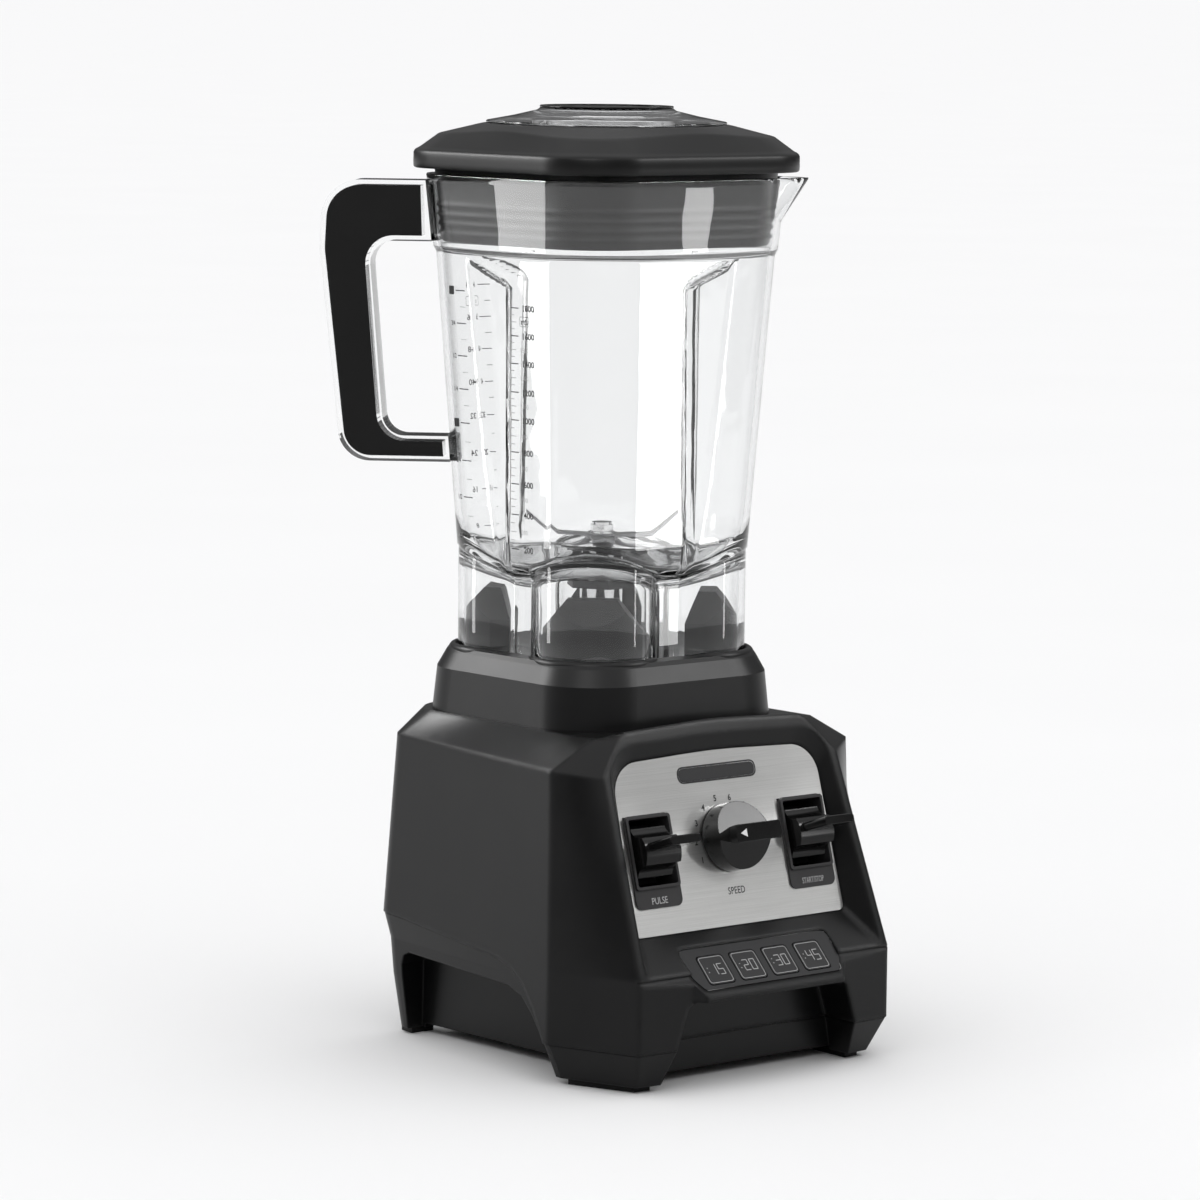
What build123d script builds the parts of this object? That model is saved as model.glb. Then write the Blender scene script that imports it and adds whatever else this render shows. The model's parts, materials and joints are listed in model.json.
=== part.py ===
"""Countertop blender: motor base, square clear jar with a blade set, lid and filler cap.

Millimetres, +Z up. The origin lies on the surface the blender stands on, on the drive axis.
The front, with the control plate, faces -Y. The jar's handle is at the back left (-X, +Y).
"""
from build123d import *
import os
from math import cos, pi, radians, sin, sqrt, tan

os.makedirs("parts", exist_ok=True)

# ---------------------------------------------------------------- driving dimensions
# motor base
SEAM_Z = 61.0                # seam between the upper housing and the bottom pan at the back
FRONT_SEAM_Z = 20.0          # the same seam round the front legs
SHOULDER_Z = 150.0           # top of the upright sides
DECK_Z = 163.0               # flat deck that the jar pad stands on
CREASE_HALF = 95.3           # half width at the crease between side and front corner face
CREASE_Y = -76.0
CREASE_RADIUS = 5.0
REAR_HALF = 79.5             # half width at the back, on the seam
REAR_Y = 76.0
REAR_RADIUS = 12.0
DRAFT = 3.0                  # degrees of draft on the back and the sides
CREASE_SHARE = 0.2           # share of the draft that the crease takes
DECK_HALF = 68.0
DECK_RIM = 1.5               # width of the deck outside the jar pad
HOUSING_WALL = 2.8
HOOD_HALF = 79.4             # half width of the hood's front edge at its foot
HOOD_TOP_HALF = 74.3
HOOD_FOOT_Z = 55.0
HOOD_TOP_Z = 169.5
HOOD_SHOULDER_Z = 146.5
HOOD_DECK_HALF = 57.0
HOOD_DECK_Z = 166.0
HOOD_CROWN = 1.0             # rise of the deck's crown at the hood's back
RIM_RADIUS = 1.5
HOOD_LEAN = 20.2             # degrees from upright
LEG_FRONT_Y = -123.5
LEG_INNER_HALF = 47.7
LEG_SPLAY = 2.3              # how far the legs' inner edges stand in front of their outer ones
CHIN_HALF = 43.7
CHIN_Y = -131.4
CHIN_Z = 45.1                # front edge of the sloped keypad face
CHIN_SLOPE = 45.4            # degrees from level
CHIN_LIP = 2.6
FOOT_HEIGHT = 3.0
TUB_HALF = 62.0
TUB_FRONT_Y = -104.0
TUB_REAR_Y = 58.0
TUB_FLOOR_Z = 5.0
PAN_WALL = 2.6
ARCH_TOP_Z = 43.0
GLAND_Z = 84.0
GLAND_R = 9.0
BREAKER_X = 42.0
BREAKER_R = 7.0

# control plate, in its own leaning plane
PLATE_LEAN = 15.5            # degrees from upright
PLATE_FOOT_Y = -105.6
PLATE_FOOT_Z = 71.6
PLATE_HALF = 66.4
PLATE_TOP_HALF = 64.4
PLATE_HEIGHT = 84.5
PLATE_CORNER = 16.0
PLATE_THICK = 1.0
CARRIER_THICK = 2.6
SHELF_THICK = 2.8
SWITCH_X = 49.0              # switch centres, either side of the middle
SWITCH_V = 39.5
BEZEL_WIDTH = 28.6
BEZEL_LOW = 12.8
BEZEL_HIGH = 57.4
WINDOW_WIDTH = 24.6
WINDOW_HEIGHT = 32.0
ROCKER_WIDTH = 21.6
ROCKER_HEIGHT = 24.0
PADDLE_REACH = 27.0
KNOB_V = 41.6
KNOB_RADIUS = 16.4
KNOB_HEIGHT = 22.0
KNOB_SHAFT_R = 3.0
KEY_PITCH = 20.4
KEY_SIZE = 16.0
KEY_TRAVEL = 0.8
WELL_WALL = 1.4
WELL_DEPTH = 14.0
SWITCH_DEPTH = 30.0
PIVOT_DEPTH = -2.0           # rocker pivot, behind the plate's face
PIN_R = 1.5
POT_BUSH_R = 5.0
KEY_V = 14.2
KEYPAD_DEPTH = 6.6
BOARD_THICK = 1.2
KEY_NAMES = ("timer_key_15", "timer_key_20", "timer_key_30", "timer_key_45")
KEY_FACE = 0.5
KEY_STEM = 2.4

# jar pad
PAD_HALF_LOW = 68.0
PAD_HALF_HIGH = 66.4
PAD_CORNER = 33.0
PAD_SEAT_Z = 188.0           # where the jar's skirt stands
PAD_LIP_Z = 194.0
POST_TOP_Z = 223.5
POST_WIDTH = 46.0
SKIRT_CORE = 50.0
PAD_BORE_R = 20.0
PAD_SCREW_AT = 42.0
PAD_SCREW_R = 1.6

# jar
SKIRT_HALF = 58.3
SKIRT_CORNER = 29.5
SKIRT_TOP_Z = 240.0
JAR_TOP_Z = 424.0
JAR_WALL = 3.0
JAR_LOW_HALF = 58.9
JAR_LOW_Z = 246.0
JAR_HIGH_HALF = 67.6
JAR_HIGH_Z = JAR_TOP_Z - 34.0
JAR_CORNER = 31.5
RING_HALF = 69.1
RING_TOP_HALF = 71.9
RING_CORNER = 34.0
FLOOR_THICK = 4.0
FLUTE_DEPTH = 7.0
FLUTE_HALF = 14.5
FLUTE_SHIFT = 9.0
BLADE_TURN = -37.0
HANDLE_REACH = 138.3
HANDLE_WIDTH = 20.0
HANDLE_RIM = 2.6
SPOUT_REACH = 99.7
DISH_FLOOR_Z = 236.0
HANDLE_ANGLE = 135
SPOUT_ANGLE = -45
SPOUT_LOW_Z = JAR_TOP_Z - 21.0
HANDLE_TOP_Z = JAR_TOP_Z - 3.6
HANDLE_LOW_Z = 284.0
GAP_TOP_Z = JAR_TOP_Z - 33.0
GAP_LOW_Z = 296.5
GRIP_DEPTH = 24.0

# lid and filler cap
LID_LOW_Z = JAR_TOP_Z + 2.5
LID_RIM_Z = LID_LOW_Z + 10.5
LID_HALF = 76.2
LID_CROWN_Z = LID_LOW_Z + 22.0
LID_CROWN_R = 60.0
PLUG_DEPTH = 33.0
CAP_BORE_R = 38.5
CAP_FLANGE_R = 58.6
CAP_DISC_R = 40.5
CAP_TOP_Z = LID_LOW_Z + 30.5

# blade set and drive
BLADE_SHAFT_R = 4.0
BLADE_Z = 246.6
BLADE_REACH = 36.0
NUT_TOP_Z = 255.5
BEARING_SLEEVE_R = 11.0
FLOOR_HOLE_R = 11.2
SLEEVE_LOW_Z = 214.0
CONE_TOP_Z = 244.0
BEARING_BORE_R = 8.0
BLADE_HUB_R = 8.5
BLADE_THICK = 1.7
SPLINE_R = 9.0
SPLINE_LOW_Z = 194.0
SPLINE_HIGH_Z = 208.0
SOCKET_R = 15.5
SOCKET_LOW_Z = 184.0
SOCKET_HIGH_Z = 205.0
MOTOR_SHAFT_R = 5.0
STACK_LOW_Z = 78.0
STACK_HIGH_Z = 128.0
STACK_HALF = 44.0
ARMATURE_R = 24.5
AIR_GAP = 0.6
FAN_R = 43.0
FAN_LOW_Z = 20.0
STACK_CORNER = 6.0
BRACKET_THICK = 3.0
BEARING_R = 11.0
BEARING_HEIGHT = 7.0
TOP_BRACKET_Z = 143.0
LOW_BRACKET_Z = 44.0
COMMUTATOR_R = 13.0
COMMUTATOR_LOW = 54.0
COMMUTATOR_HIGH = 68.0
FIELD_BOLT_R = 2.2
COIL_Y = (25.0, 34.0)
COIL_HALF = 35.0
POLE_HALF = 26.5

# fits
RUNNING = 0.05               # radial clearance of a shaft in its bearing
LOOSE = 0.4                  # clearance between pieces that move past each other
SEAT = 0.3                   # clearance round a piece that is fitted and stays

X_SIDES = (-1, 1)


# ---------------------------------------------------------------- helpers
def save(shape, node, label=None):
    """Write one node as a STEP file and name it."""
    shape.label = label or node
    export_step(shape, f"parts/{node}.step")


def cylinder(radius, low, high, x=0.0, y=0.0):
    """An upright cylinder between two heights."""
    return Pos(x, y, (low + high) / 2) * Cylinder(radius, high - low)


def tube(outer, inner, low, high, x=0.0, y=0.0):
    """An upright tube between two heights."""
    return cylinder(outer, low, high, x, y) - cylinder(inner, low - 1, high + 1, x, y)


def box(x0, x1, y0, y1, z0, z1):
    """A box between two corners."""
    return Pos((x0 + x1) / 2, (y0 + y1) / 2, (z0 + z1) / 2) * Box(abs(x1 - x0), y1 - y0, z1 - z0)


def squircle(half, corner, z):
    """A level rounded square, as a face at height z."""
    return Pos(0, 0, z) * RectangleRounded(2 * half, 2 * half, corner)


def stack_squares(stations):
    """A solid through rounded squares given as (z, half width, corner radius)."""
    solids = [
        loft([squircle(h0, r0, z0), squircle(h1, r1, z1)])
        for (z0, h0, r0), (z1, h1, r1) in zip(stations, stations[1:])
    ]
    return fuse(solids)


def fuse(solids):
    """All solids joined into one."""
    result = solids[0]
    for solid in solids[1:]:
        result = result + solid
    return result


def group(solids):
    """Separate solids kept apart in one node."""
    flat = []
    for solid in solids:
        flat.extend(solid.solids())
    return Compound(children=flat)


def outline(points, radii, z):
    """A closed level outline through points, each corner with its own radius."""
    path = FilletPolyline(*[(x, y, z) for x, y in points], radius=radii, close=True)
    return make_face(path)


def mirrored(points):
    """The points and their mirror images in the X = 0 plane, in one loop."""
    return points + [(-p[0],) + tuple(p[1:]) for p in reversed(points)]


def across(profile, x0, x1):
    """A solid with a (y, z) profile, reaching from x0 to x1."""
    face = make_face(Polyline(*[(x0, y, z) for y, z in profile], close=True))
    return extrude(face, amount=x1 - x0, dir=(1, 0, 0))


def along_y(profile, y0, y1):
    """A solid with an (x, z) profile, reaching from y0 to y1."""
    face = make_face(Polyline(*[(x, y0, z) for x, z in profile], close=True))
    return extrude(face, amount=y1 - y0, dir=(0, 1, 0))


# ---------------------------------------------------------------- leaning planes
def leaning_plane(y, z, lean):
    """A plane through (0, y, z) that leans back by lean degrees; local Y runs up it."""
    angle = radians(lean)
    return Plane(origin=(0, y, z), x_dir=(1, 0, 0), z_dir=(0, -cos(angle), sin(angle)))


PLATE = leaning_plane(PLATE_FOOT_Y, PLATE_FOOT_Z, PLATE_LEAN)
KEYPAD = leaning_plane(CHIN_Y, CHIN_Z, 90 - CHIN_SLOPE)


def hood_y(z):
    """Y of the hood's front edge plane at height z."""
    return LEG_FRONT_Y + (z - HOOD_FOOT_Z) * tan(radians(HOOD_LEAN))


def on(plane, x, v, depth=0.0):
    """A placement on a leaning plane, depth measured outwards."""
    return plane.location * Pos(x, v, depth)


# ---------------------------------------------------------------- motor base: outer mass
def draft_at(z):
    """How far the drafted back and sides have moved inwards at height z, from the seam up."""
    return (z - SEAM_Z) * tan(radians(DRAFT))


def crease_half(z):
    """Half width at the crease at height z."""
    return CREASE_HALF - draft_at(z) * CREASE_SHARE


def block_outline(z, inset):
    """Level outline of the housing's main block, moved inwards by inset."""
    crease = crease_half(z) - inset
    rear = REAR_HALF - draft_at(z) - inset
    back = REAR_Y - draft_at(z) - inset
    radius = max(REAR_RADIUS - inset, 2.0)
    points = [(crease, CREASE_Y), (rear, back), (-rear, back), (-crease, CREASE_Y)]
    return outline(points, [0, radius, radius, 0], z)


def deck_outline(z, inset):
    """Level outline of the deck, with the same corners as the main block."""
    half = DECK_HALF + DECK_RIM - inset
    points = [(half, CREASE_Y), (half, half), (-half, half), (-half, CREASE_Y)]
    return outline(points, [0, 28, 28, 0], z)


def leg_outline(z, inset):
    """Level outline of the housing in front of the crease, round the front legs and the chin."""
    half = [(crease_half(z) - inset, CREASE_Y), (HOOD_HALF - inset, LEG_FRONT_Y + inset),
            (LEG_INNER_HALF, LEG_FRONT_Y - LEG_SPLAY + inset), (CHIN_HALF, CHIN_Y + inset)]
    return outline(mirrored(half), [0] * 8, z)


def hood_section(plane_y, lean, foot_half, edge, deck, crown, radius):
    """One section of the hood: foot, upper edge, deck corner and crown, mirrored."""
    half = [(foot_half, HOOD_FOOT_Z), edge, deck]
    profile = half + [(0, crown)] + [(-x, z) for x, z in reversed(half)]
    points = [(x, plane_y + (z - HOOD_FOOT_Z) * tan(radians(lean)), z) for x, z in profile]
    return make_face(FilletPolyline(*points, radius=[0, 0, radius, 400, radius, 0, 0], close=True))


def hood_sections(inset):
    """The hood's back section, over the crease, and its front section in the leaning plane."""
    back = hood_section(
        CREASE_Y, 0, crease_half(HOOD_FOOT_Z) - inset,
        (crease_half(SHOULDER_Z) - inset, SHOULDER_Z - inset),
        (DECK_HALF + DECK_RIM - inset, DECK_Z - inset), DECK_Z + HOOD_CROWN - inset, 5.0,
    )
    front = hood_section(
        LEG_FRONT_Y + inset, HOOD_LEAN, HOOD_HALF - inset,
        (HOOD_TOP_HALF - inset, HOOD_SHOULDER_Z - inset),
        (HOOD_DECK_HALF - inset, HOOD_DECK_Z - inset), HOOD_TOP_Z - inset, 14.0,
    )
    return [back, front]


def housing_mass(inset):
    """The whole housing above its seam as one solid, moved inwards by inset."""
    low = FRONT_SEAM_Z - (1.0 if inset else 0.0)
    block = loft([block_outline(low, inset), block_outline(SHOULDER_Z - inset, inset)], ruled=True)
    shoulder = loft([block_outline(SHOULDER_Z - inset, inset), deck_outline(DECK_Z - inset, inset)])
    hood = loft(hood_sections(inset), ruled=True)
    legs = loft([leg_outline(low, inset), leg_outline(HOOD_FOOT_Z, inset)], ruled=True)
    return fuse([block, shoulder, hood, legs - chin_slope_tool(inset)])


def is_crease(edge):
    """Whether an edge of the outer mass runs down the crease between side and corner face."""
    middle = edge @ 0.5
    return edge.length > 20 and abs(middle.Y - CREASE_Y) < 1.2 and abs(abs(middle.X) - CREASE_HALF) < 2.0


def is_rim(edge):
    """Whether an edge of the outer mass runs round the hood's mouth or down a front leg."""
    middle = edge @ 0.5
    side = edge.length > 60 and 70 < abs(middle.X) < 80.5 and -112 < middle.Y < -100
    top = middle.Y < -80 and middle.Z > 140 and abs(middle.Y - hood_y(middle.Z)) < 0.6
    leg = edge.length > 20 and abs(abs(middle.X) - HOOD_HALF) < 1.2 and abs(middle.Y - LEG_FRONT_Y) < 1.2
    return side or top or leg


def outer_mass():
    """The housing's outer mass with its crease and the rim of its hood rounded."""
    mass = housing_mass(0.0)
    mass = fillet([edge for edge in mass.edges() if is_crease(edge)], CREASE_RADIUS)
    return fillet([edge for edge in mass.edges() if is_rim(edge)], RIM_RADIUS)


def chin_slope_tool(inset):
    """Everything above the sloped keypad face, moved inwards by inset."""
    run = 60.0
    rise = run * tan(radians(CHIN_SLOPE))
    z = CHIN_Z - inset * 1.4
    return across([(CHIN_Y - 20, z), (CHIN_Y, z), (CHIN_Y + run, z + rise), (CHIN_Y - 20, z + rise)],
                  -120, 120)


def seam_profile():
    """The seam between housing and pan, seen from the side, from back to front."""
    return [(90, SEAM_Z + 0.9), (50, 60.6), (-8, 56.2), (-32, 54.6), (-44, 51.5), (-54, 45.5),
            (-63, 35.5), (-72.5, FRONT_SEAM_Z), (-150, FRONT_SEAM_Z)]


def above_seam():
    """Everything above the seam."""
    return across([*seam_profile(), (-150, 260), (90, 260)], -120, 120)


def recess_tool():
    """The hollow that the control plate lies in: straight at the plate, then flared to the hood's edge."""
    inner = plate_face(SEAT, 0)
    floor = extrude(plate_face(SEAT, -PLATE_THICK - CARRIER_THICK), amount=PLATE_THICK + CARRIER_THICK,
                    dir=tuple(PLATE.z_dir))
    reach = 2.0
    foot_z = HOOD_FOOT_Z - reach
    edge = leaning_plane(hood_y(foot_z) - reach, foot_z, HOOD_LEAN)
    height = (HOOD_TOP_Z - 3.6 - foot_z) / cos(radians(HOOD_LEAN))
    mouth = edge.location * plate_outline(HOOD_HALF - 3.0, HOOD_TOP_HALF - 3.6, height, 20.0)
    return floor + loft([inner, mouth], ruled=True)


def plate_outline(foot_half, top_half, height, corner, low=0.0):
    """The control plate's outline: straight foot, tapered sides, round top corners, arched top."""
    points = [(foot_half, low), (top_half, height - 2.5), (0, height), (-top_half, height - 2.5),
              (-foot_half, low)]
    return make_face(FilletPolyline(*points, radius=[3.0, corner, 500, corner, 3.0], close=True))


def plate_face(grow, depth):
    """The plate's outline, larger by grow, at a depth from the plate's outer face."""
    return on(PLATE, 0, 0, depth) * plate_outline(
        PLATE_HALF + grow, PLATE_TOP_HALF + grow, PLATE_HEIGHT + grow, PLATE_CORNER + grow, -grow)


def side_arch_tool():
    """The air arches between front and back legs, seen from the side."""
    profile = [(60.5, -5), (59.5, 36), (57, 41), (52, ARCH_TOP_Z), (-38, ARCH_TOP_Z - 1), (-49, 38.5),
               (-57, 31), (-66, 16), (-76, -5)]
    arches = [across(profile, side * TUB_HALF, side * 120) for side in X_SIDES]
    return fuse(arches)


def front_arch_tool(grow=0.0):
    """The arch between the front legs, under the chin, larger by grow."""
    top = CHIN_Z - CHIN_LIP + grow
    half = [(61.5 + grow, -5), (56.3 + grow, 22), (50.5 + grow, top - 3), (46.5 + grow, top)]
    return along_y(mirrored(half), CHIN_Y - 10, TUB_FRONT_Y + grow)


def rear_arch_tool():
    """The arch between the back legs."""
    half = [(52, -5), (50, 30), (44, 36)]
    return along_y(mirrored(half), TUB_REAR_Y, REAR_Y + 10)


# ---------------------------------------------------------------- motor base: shells
def upper_housing():
    """Hood, sides and deck as one thin shell, open below."""
    shell = (outer_mass() - cavity()) & above_seam()
    shell = shell - front_arch_tool()
    shell = shell - recess_tool() - panel_window()
    shell = shell - cylinder(30, DECK_Z - 10, DECK_Z + 10)
    for x, y in pad_screw_places():
        shell = shell - cylinder(PAD_SCREW_R, DECK_Z - 8, DECK_Z + 2, x, y)
    shell = shell - keypad_pocket()
    shell = shell - gland_hole() - breaker_hole()
    return shell + motor_bosses()


def cavity():
    """The hollow of the housing, kept behind the wall that carries the control panel."""
    hollow = housing_mass(HOUSING_WALL)
    wall = PLATE_THICK + CARRIER_THICK + SHELF_THICK
    behind = on(PLATE, 0, 60, -wall - 100) * Box(260, 320, 200)
    narrow = box(-HOOD_HALF + 5, HOOD_HALF - 5, CREASE_Y - 60, CREASE_Y + 1, 0, 200)
    back = box(-120, 120, CREASE_Y, 120, 0, 260)
    return (hollow & behind & (narrow + back)) - front_arch_tool(HOUSING_WALL)


def panel_window():
    """The window through the shelf that the switches and the speed control pass."""
    width = 2 * SWITCH_X + WINDOW_WIDTH + 2 * (WELL_WALL + 1.0)
    height = WINDOW_HEIGHT + 2 * (WELL_WALL + 8.0)
    face = on(PLATE, 0, SWITCH_V, -PLATE_THICK - CARRIER_THICK - SHELF_THICK - 4)
    return face * extrude(RectangleRounded(width, height, 5), amount=SHELF_THICK + 8)


def motor_bosses():
    """Four bosses under the deck that the motor hangs from."""
    low = DECK_Z - HOUSING_WALL - 9
    return fuse([tube(6.5, 2.2, low, DECK_Z - HOUSING_WALL + 0.5, x, y) for x, y in motor_corners()])


def motor_corners():
    """Places of the motor's four mounting points."""
    return [(x * 38, y * 38) for x in X_SIDES for y in X_SIDES]


def keypad_outline(grow):
    """Outline of the keypad bezel on the sloped face, larger by grow."""
    points = [(42.6 + grow, 3.8 - grow), (46.6 + grow, 11), (47.4 + grow, 27.2 + grow)]
    loop = points + [(-x, y) for x, y in reversed(points)]
    return make_face(FilletPolyline(*loop, radius=[3, 6, 4, 4, 6, 3], close=True))


def keypad_pocket():
    """Shallow pocket for the keypad bezel, with one opening for the keys."""
    pocket = on(KEYPAD, 0, 0, -1.6) * extrude(keypad_outline(SEAT), amount=10)
    size = (4 * KEY_PITCH, KEY_SIZE + 2)
    opening = on(KEYPAD, 0, KEY_V, -KEYPAD_DEPTH) * extrude(RectangleRounded(*size, 2), amount=12)
    return pocket + opening


def rear_y(z):
    """Y of the housing's back face at height z."""
    return REAR_Y - max(z - SEAM_Z, 0) * tan(radians(DRAFT))


def gland_hole():
    """Round hole for the cord's gland at the back."""
    return Pos(0, rear_y(GLAND_Z), GLAND_Z) * Rot(90, 0, 0) * Cylinder(GLAND_R, 20)


def breaker_hole():
    """Round hole for the breaker at the back."""
    return Pos(BREAKER_X, rear_y(GLAND_Z), GLAND_Z) * Rot(90, 0, 0) * Cylinder(BREAKER_R, 20)


def pan_outline(z, inset):
    """Level outline of the bottom pan at its back and sides."""
    stations = [(FOOT_HEIGHT, 87.0, 69.5, 73.5), (30.0, 91.5, 73.5, 75.0), (48.0, 93.4, 75.0, 75.4),
                (SEAM_Z + 1.0, CREASE_HALF - 0.2, REAR_HALF - 0.2, REAR_Y - 0.2)]
    for low, high in zip(stations, stations[1:]):
        if z <= high[0]:
            share = (z - low[0]) / (high[0] - low[0])
            crease, rear, back = [a + (b - a) * share - inset for a, b in zip(low[1:], high[1:])]
            break
    radius = max(REAR_RADIUS - inset, 2.0)
    points = [(crease, CREASE_Y), (rear, back), (-rear, back), (-crease, CREASE_Y)]
    return outline(points, [0, radius, radius, 0], z)


def front_foot_outline(z):
    """Level outline of the pan round the front legs."""
    if z > FRONT_SEAM_Z - 1:
        points = [(CREASE_HALF - 0.3, CREASE_Y), (HOOD_HALF - 0.2, LEG_FRONT_Y + 0.2),
                  (LEG_INNER_HALF, LEG_FRONT_Y - 2.1)]
    else:
        points = [(87.0, CREASE_Y), (74.0, LEG_FRONT_Y + 8.0), (58.0, LEG_FRONT_Y + 6.5)]
    loop = points + [(-x, y) for x, y in reversed(points)]
    return outline(loop, [0, 2.0, 0, 0, 2.0, 0], z)


def bottom_pan():
    """Back legs, air arches, front feet and the tub under the motor."""
    levels = [FOOT_HEIGHT, 30.0, 48.0, SEAM_Z + 1.0]
    skirt = fuse([loft([pan_outline(a, 0), pan_outline(b, 0)], ruled=True)
                  for a, b in zip(levels, levels[1:])])
    feet = loft([front_foot_outline(FOOT_HEIGHT), front_foot_outline(FRONT_SEAM_Z)], ruled=True)
    below = across([*seam_profile(), (-150, -10), (90, -10)], -120, 120)
    mass = (skirt + feet) & below
    under_tub = box(-120, 120, TUB_FRONT_Y, TUB_REAR_Y, -10, TUB_FLOOR_Z)
    leg_block = fuse([box(side * TUB_HALF, side * 120, TUB_FRONT_Y - 30, CREASE_Y + 12, -10, TUB_FLOOR_Z)
                      for side in X_SIDES])
    mass = mass - (under_tub - leg_block)
    mass = mass - side_arch_tool() - front_arch_tool() - rear_arch_tool()
    return mass - pan_hollow() - tub_vents()


def pan_hollow():
    """The inside of the pan: the tub, and the ledges over the side arches."""
    wall = PAN_WALL
    tub = box(-TUB_HALF + wall, TUB_HALF - wall, TUB_FRONT_Y + wall, TUB_REAR_Y - wall,
              TUB_FLOOR_Z + wall, 90)
    ledge_z = ARCH_TOP_Z + wall
    ledge = loft([pan_outline(ledge_z, wall), pan_outline(SEAM_Z + 1.0, wall)], ruled=True)
    return tub + (ledge & box(-120, 120, -34, TUB_REAR_Y, 0, 90))


def tub_vents():
    """Slots in the tub's floor that the fan draws air through."""
    slots = [box(-34, 34, y - 2, y + 2, TUB_FLOOR_Z - 5, TUB_FLOOR_Z + PAN_WALL + 2)
             for y in range(-36, 37, 9)]
    return fuse(slots)


def rubber_feet():
    """Four rubber pads under the legs."""
    front = [(84, -78), (71.5, -111), (62.5, -112), (64.5, -80)]
    rear = [(67.5, 61.5), (66, 71.5), (54, 71.5), (54, 61.5)]
    pads = []
    for points in (front, rear):
        for side in X_SIDES:
            face = make_face(Polyline(*[(side * x, y, 0) for x, y in points], close=True))
            pads.append(extrude(face, amount=FOOT_HEIGHT, dir=(0, 0, 1)))
    return group(pads)


# ---------------------------------------------------------------- control panel


def prism_on(plane, face, low, high, x=0.0, v=0.0):
    """A flat face raised square to a leaning plane, between two depths."""
    return on(plane, x, v, low) * extrude(face, amount=high - low)


def switch_holes(low, high):
    """Two rectangular holes for the switch wells and a round one for the speed control."""
    width = WINDOW_WIDTH + 2 * (WELL_WALL + SEAT)
    height = WINDOW_HEIGHT + 2 * (WELL_WALL + SEAT)
    holes = [prism_on(PLATE, Rectangle(width, height), low, high, side * SWITCH_X, SWITCH_V)
             for side in X_SIDES]
    holes.append(prism_on(PLATE, Circle(POT_BUSH_R + SEAT), low, high, 0, KNOB_V))
    return fuse(holes)


def control_plate():
    """Thin brushed plate with its three holes."""
    sheet = extrude(plate_face(0, -PLATE_THICK), amount=PLATE_THICK, dir=tuple(PLATE.z_dir))
    return sheet - switch_holes(-PLATE_THICK - 1, 1)


def panel_carrier():
    """Moulded tray behind the plate."""
    low = -PLATE_THICK - CARRIER_THICK
    tray = extrude(plate_face(-SEAT, low), amount=CARRIER_THICK, dir=tuple(PLATE.z_dir))
    return tray - switch_holes(low - 1, 1)


def switch_bezel(side):
    """Label, raised frame and open well round one rocker."""
    height = BEZEL_HIGH - BEZEL_LOW
    label = prism_on(PLATE, RectangleRounded(BEZEL_WIDTH, height, 3.5), 0, 0.9,
                     side * SWITCH_X, (BEZEL_LOW + BEZEL_HIGH) / 2)
    frame_face = RectangleRounded(WINDOW_WIDTH + 2 * WELL_WALL, WINDOW_HEIGHT + 2 * WELL_WALL, 1.6)
    frame = prism_on(PLATE, frame_face, -WELL_DEPTH, 2.2, side * SWITCH_X, SWITCH_V)
    well = prism_on(PLATE, RectangleRounded(WINDOW_WIDTH, WINDOW_HEIGHT, 1.0), -WELL_DEPTH - 1, 5,
                    side * SWITCH_X, SWITCH_V)
    bores = Rot(0, 90, 0) * Cylinder(PIN_R + RUNNING, WINDOW_WIDTH + 2 * WELL_WALL + 1)
    return label + frame - well - on(PLATE, side * SWITCH_X, SWITCH_V, PIVOT_DEPTH) * bores


def switch_body(side):
    """Closed body of one switch behind its well, with two terminals."""
    face = Rectangle(WINDOW_WIDTH, WINDOW_HEIGHT - 4)
    body = prism_on(PLATE, face, -SWITCH_DEPTH, -WELL_DEPTH, side * SWITCH_X, SWITCH_V)
    tabs = [prism_on(PLATE, Rectangle(0.8, 6), -SWITCH_DEPTH - 8, -SWITCH_DEPTH, side * SWITCH_X + x,
                     SWITCH_V)
            for x in (-6, 6)]
    return fuse([body, *tabs])


def switch_paddle(side):
    """Rocker barrel with a scoop either side of its flat paddle."""
    radius = ROCKER_HEIGHT / 2
    barrel = Rot(0, 90, 0) * Cylinder(radius, ROCKER_WIDTH)
    scoops = [Pos(0, end * (radius + 1.5), radius - 2.5) * Rot(0, 90, 0) * Cylinder(7.0, ROCKER_WIDTH + 2)
              for end in (-1, 1)]
    paddle = extrude(RectangleRounded(ROCKER_WIDTH - 3.0, 4.2, 1.6), amount=PADDLE_REACH - PIVOT_DEPTH)
    tip = Pos(0, 1.2, 0) * Rot(-3, 0, 0) * paddle
    pins = Rot(0, 90, 0) * Cylinder(PIN_R, WINDOW_WIDTH + WELL_WALL)
    return on(PLATE, side * SWITCH_X, SWITCH_V, PIVOT_DEPTH) * (barrel - fuse(scoops) + tip + pins)


def speed_knob():
    """Round base with a raised grip bar between two scooped sides."""
    base = extrude(Circle(KNOB_RADIUS), amount=KNOB_HEIGHT)
    base = chamfer(base.edges().group_by(Axis.Z)[-1], 2.2)
    scoops = []
    for end in (-1, 1):
        cutter = Pos(0, end * (4.9 + 21), 10.5) * Rot(end * -16, 0, 0) * Box(60, 42, 30)
        scoops.append(Pos(0, 0, 10.5) * cutter)
    bore = extrude(Circle(KNOB_SHAFT_R), amount=KNOB_HEIGHT - 8)
    knob = base - fuse(scoops) - bore
    return on(PLATE, 0, KNOB_V, 1.0) * knob


def speed_shaft():
    """Spindle of the speed control, fast in the knob."""
    return prism_on(PLATE, Circle(KNOB_SHAFT_R), -PLATE_THICK - 20, KNOB_HEIGHT - 8 + 1.0, 0, KNOB_V)


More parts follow.
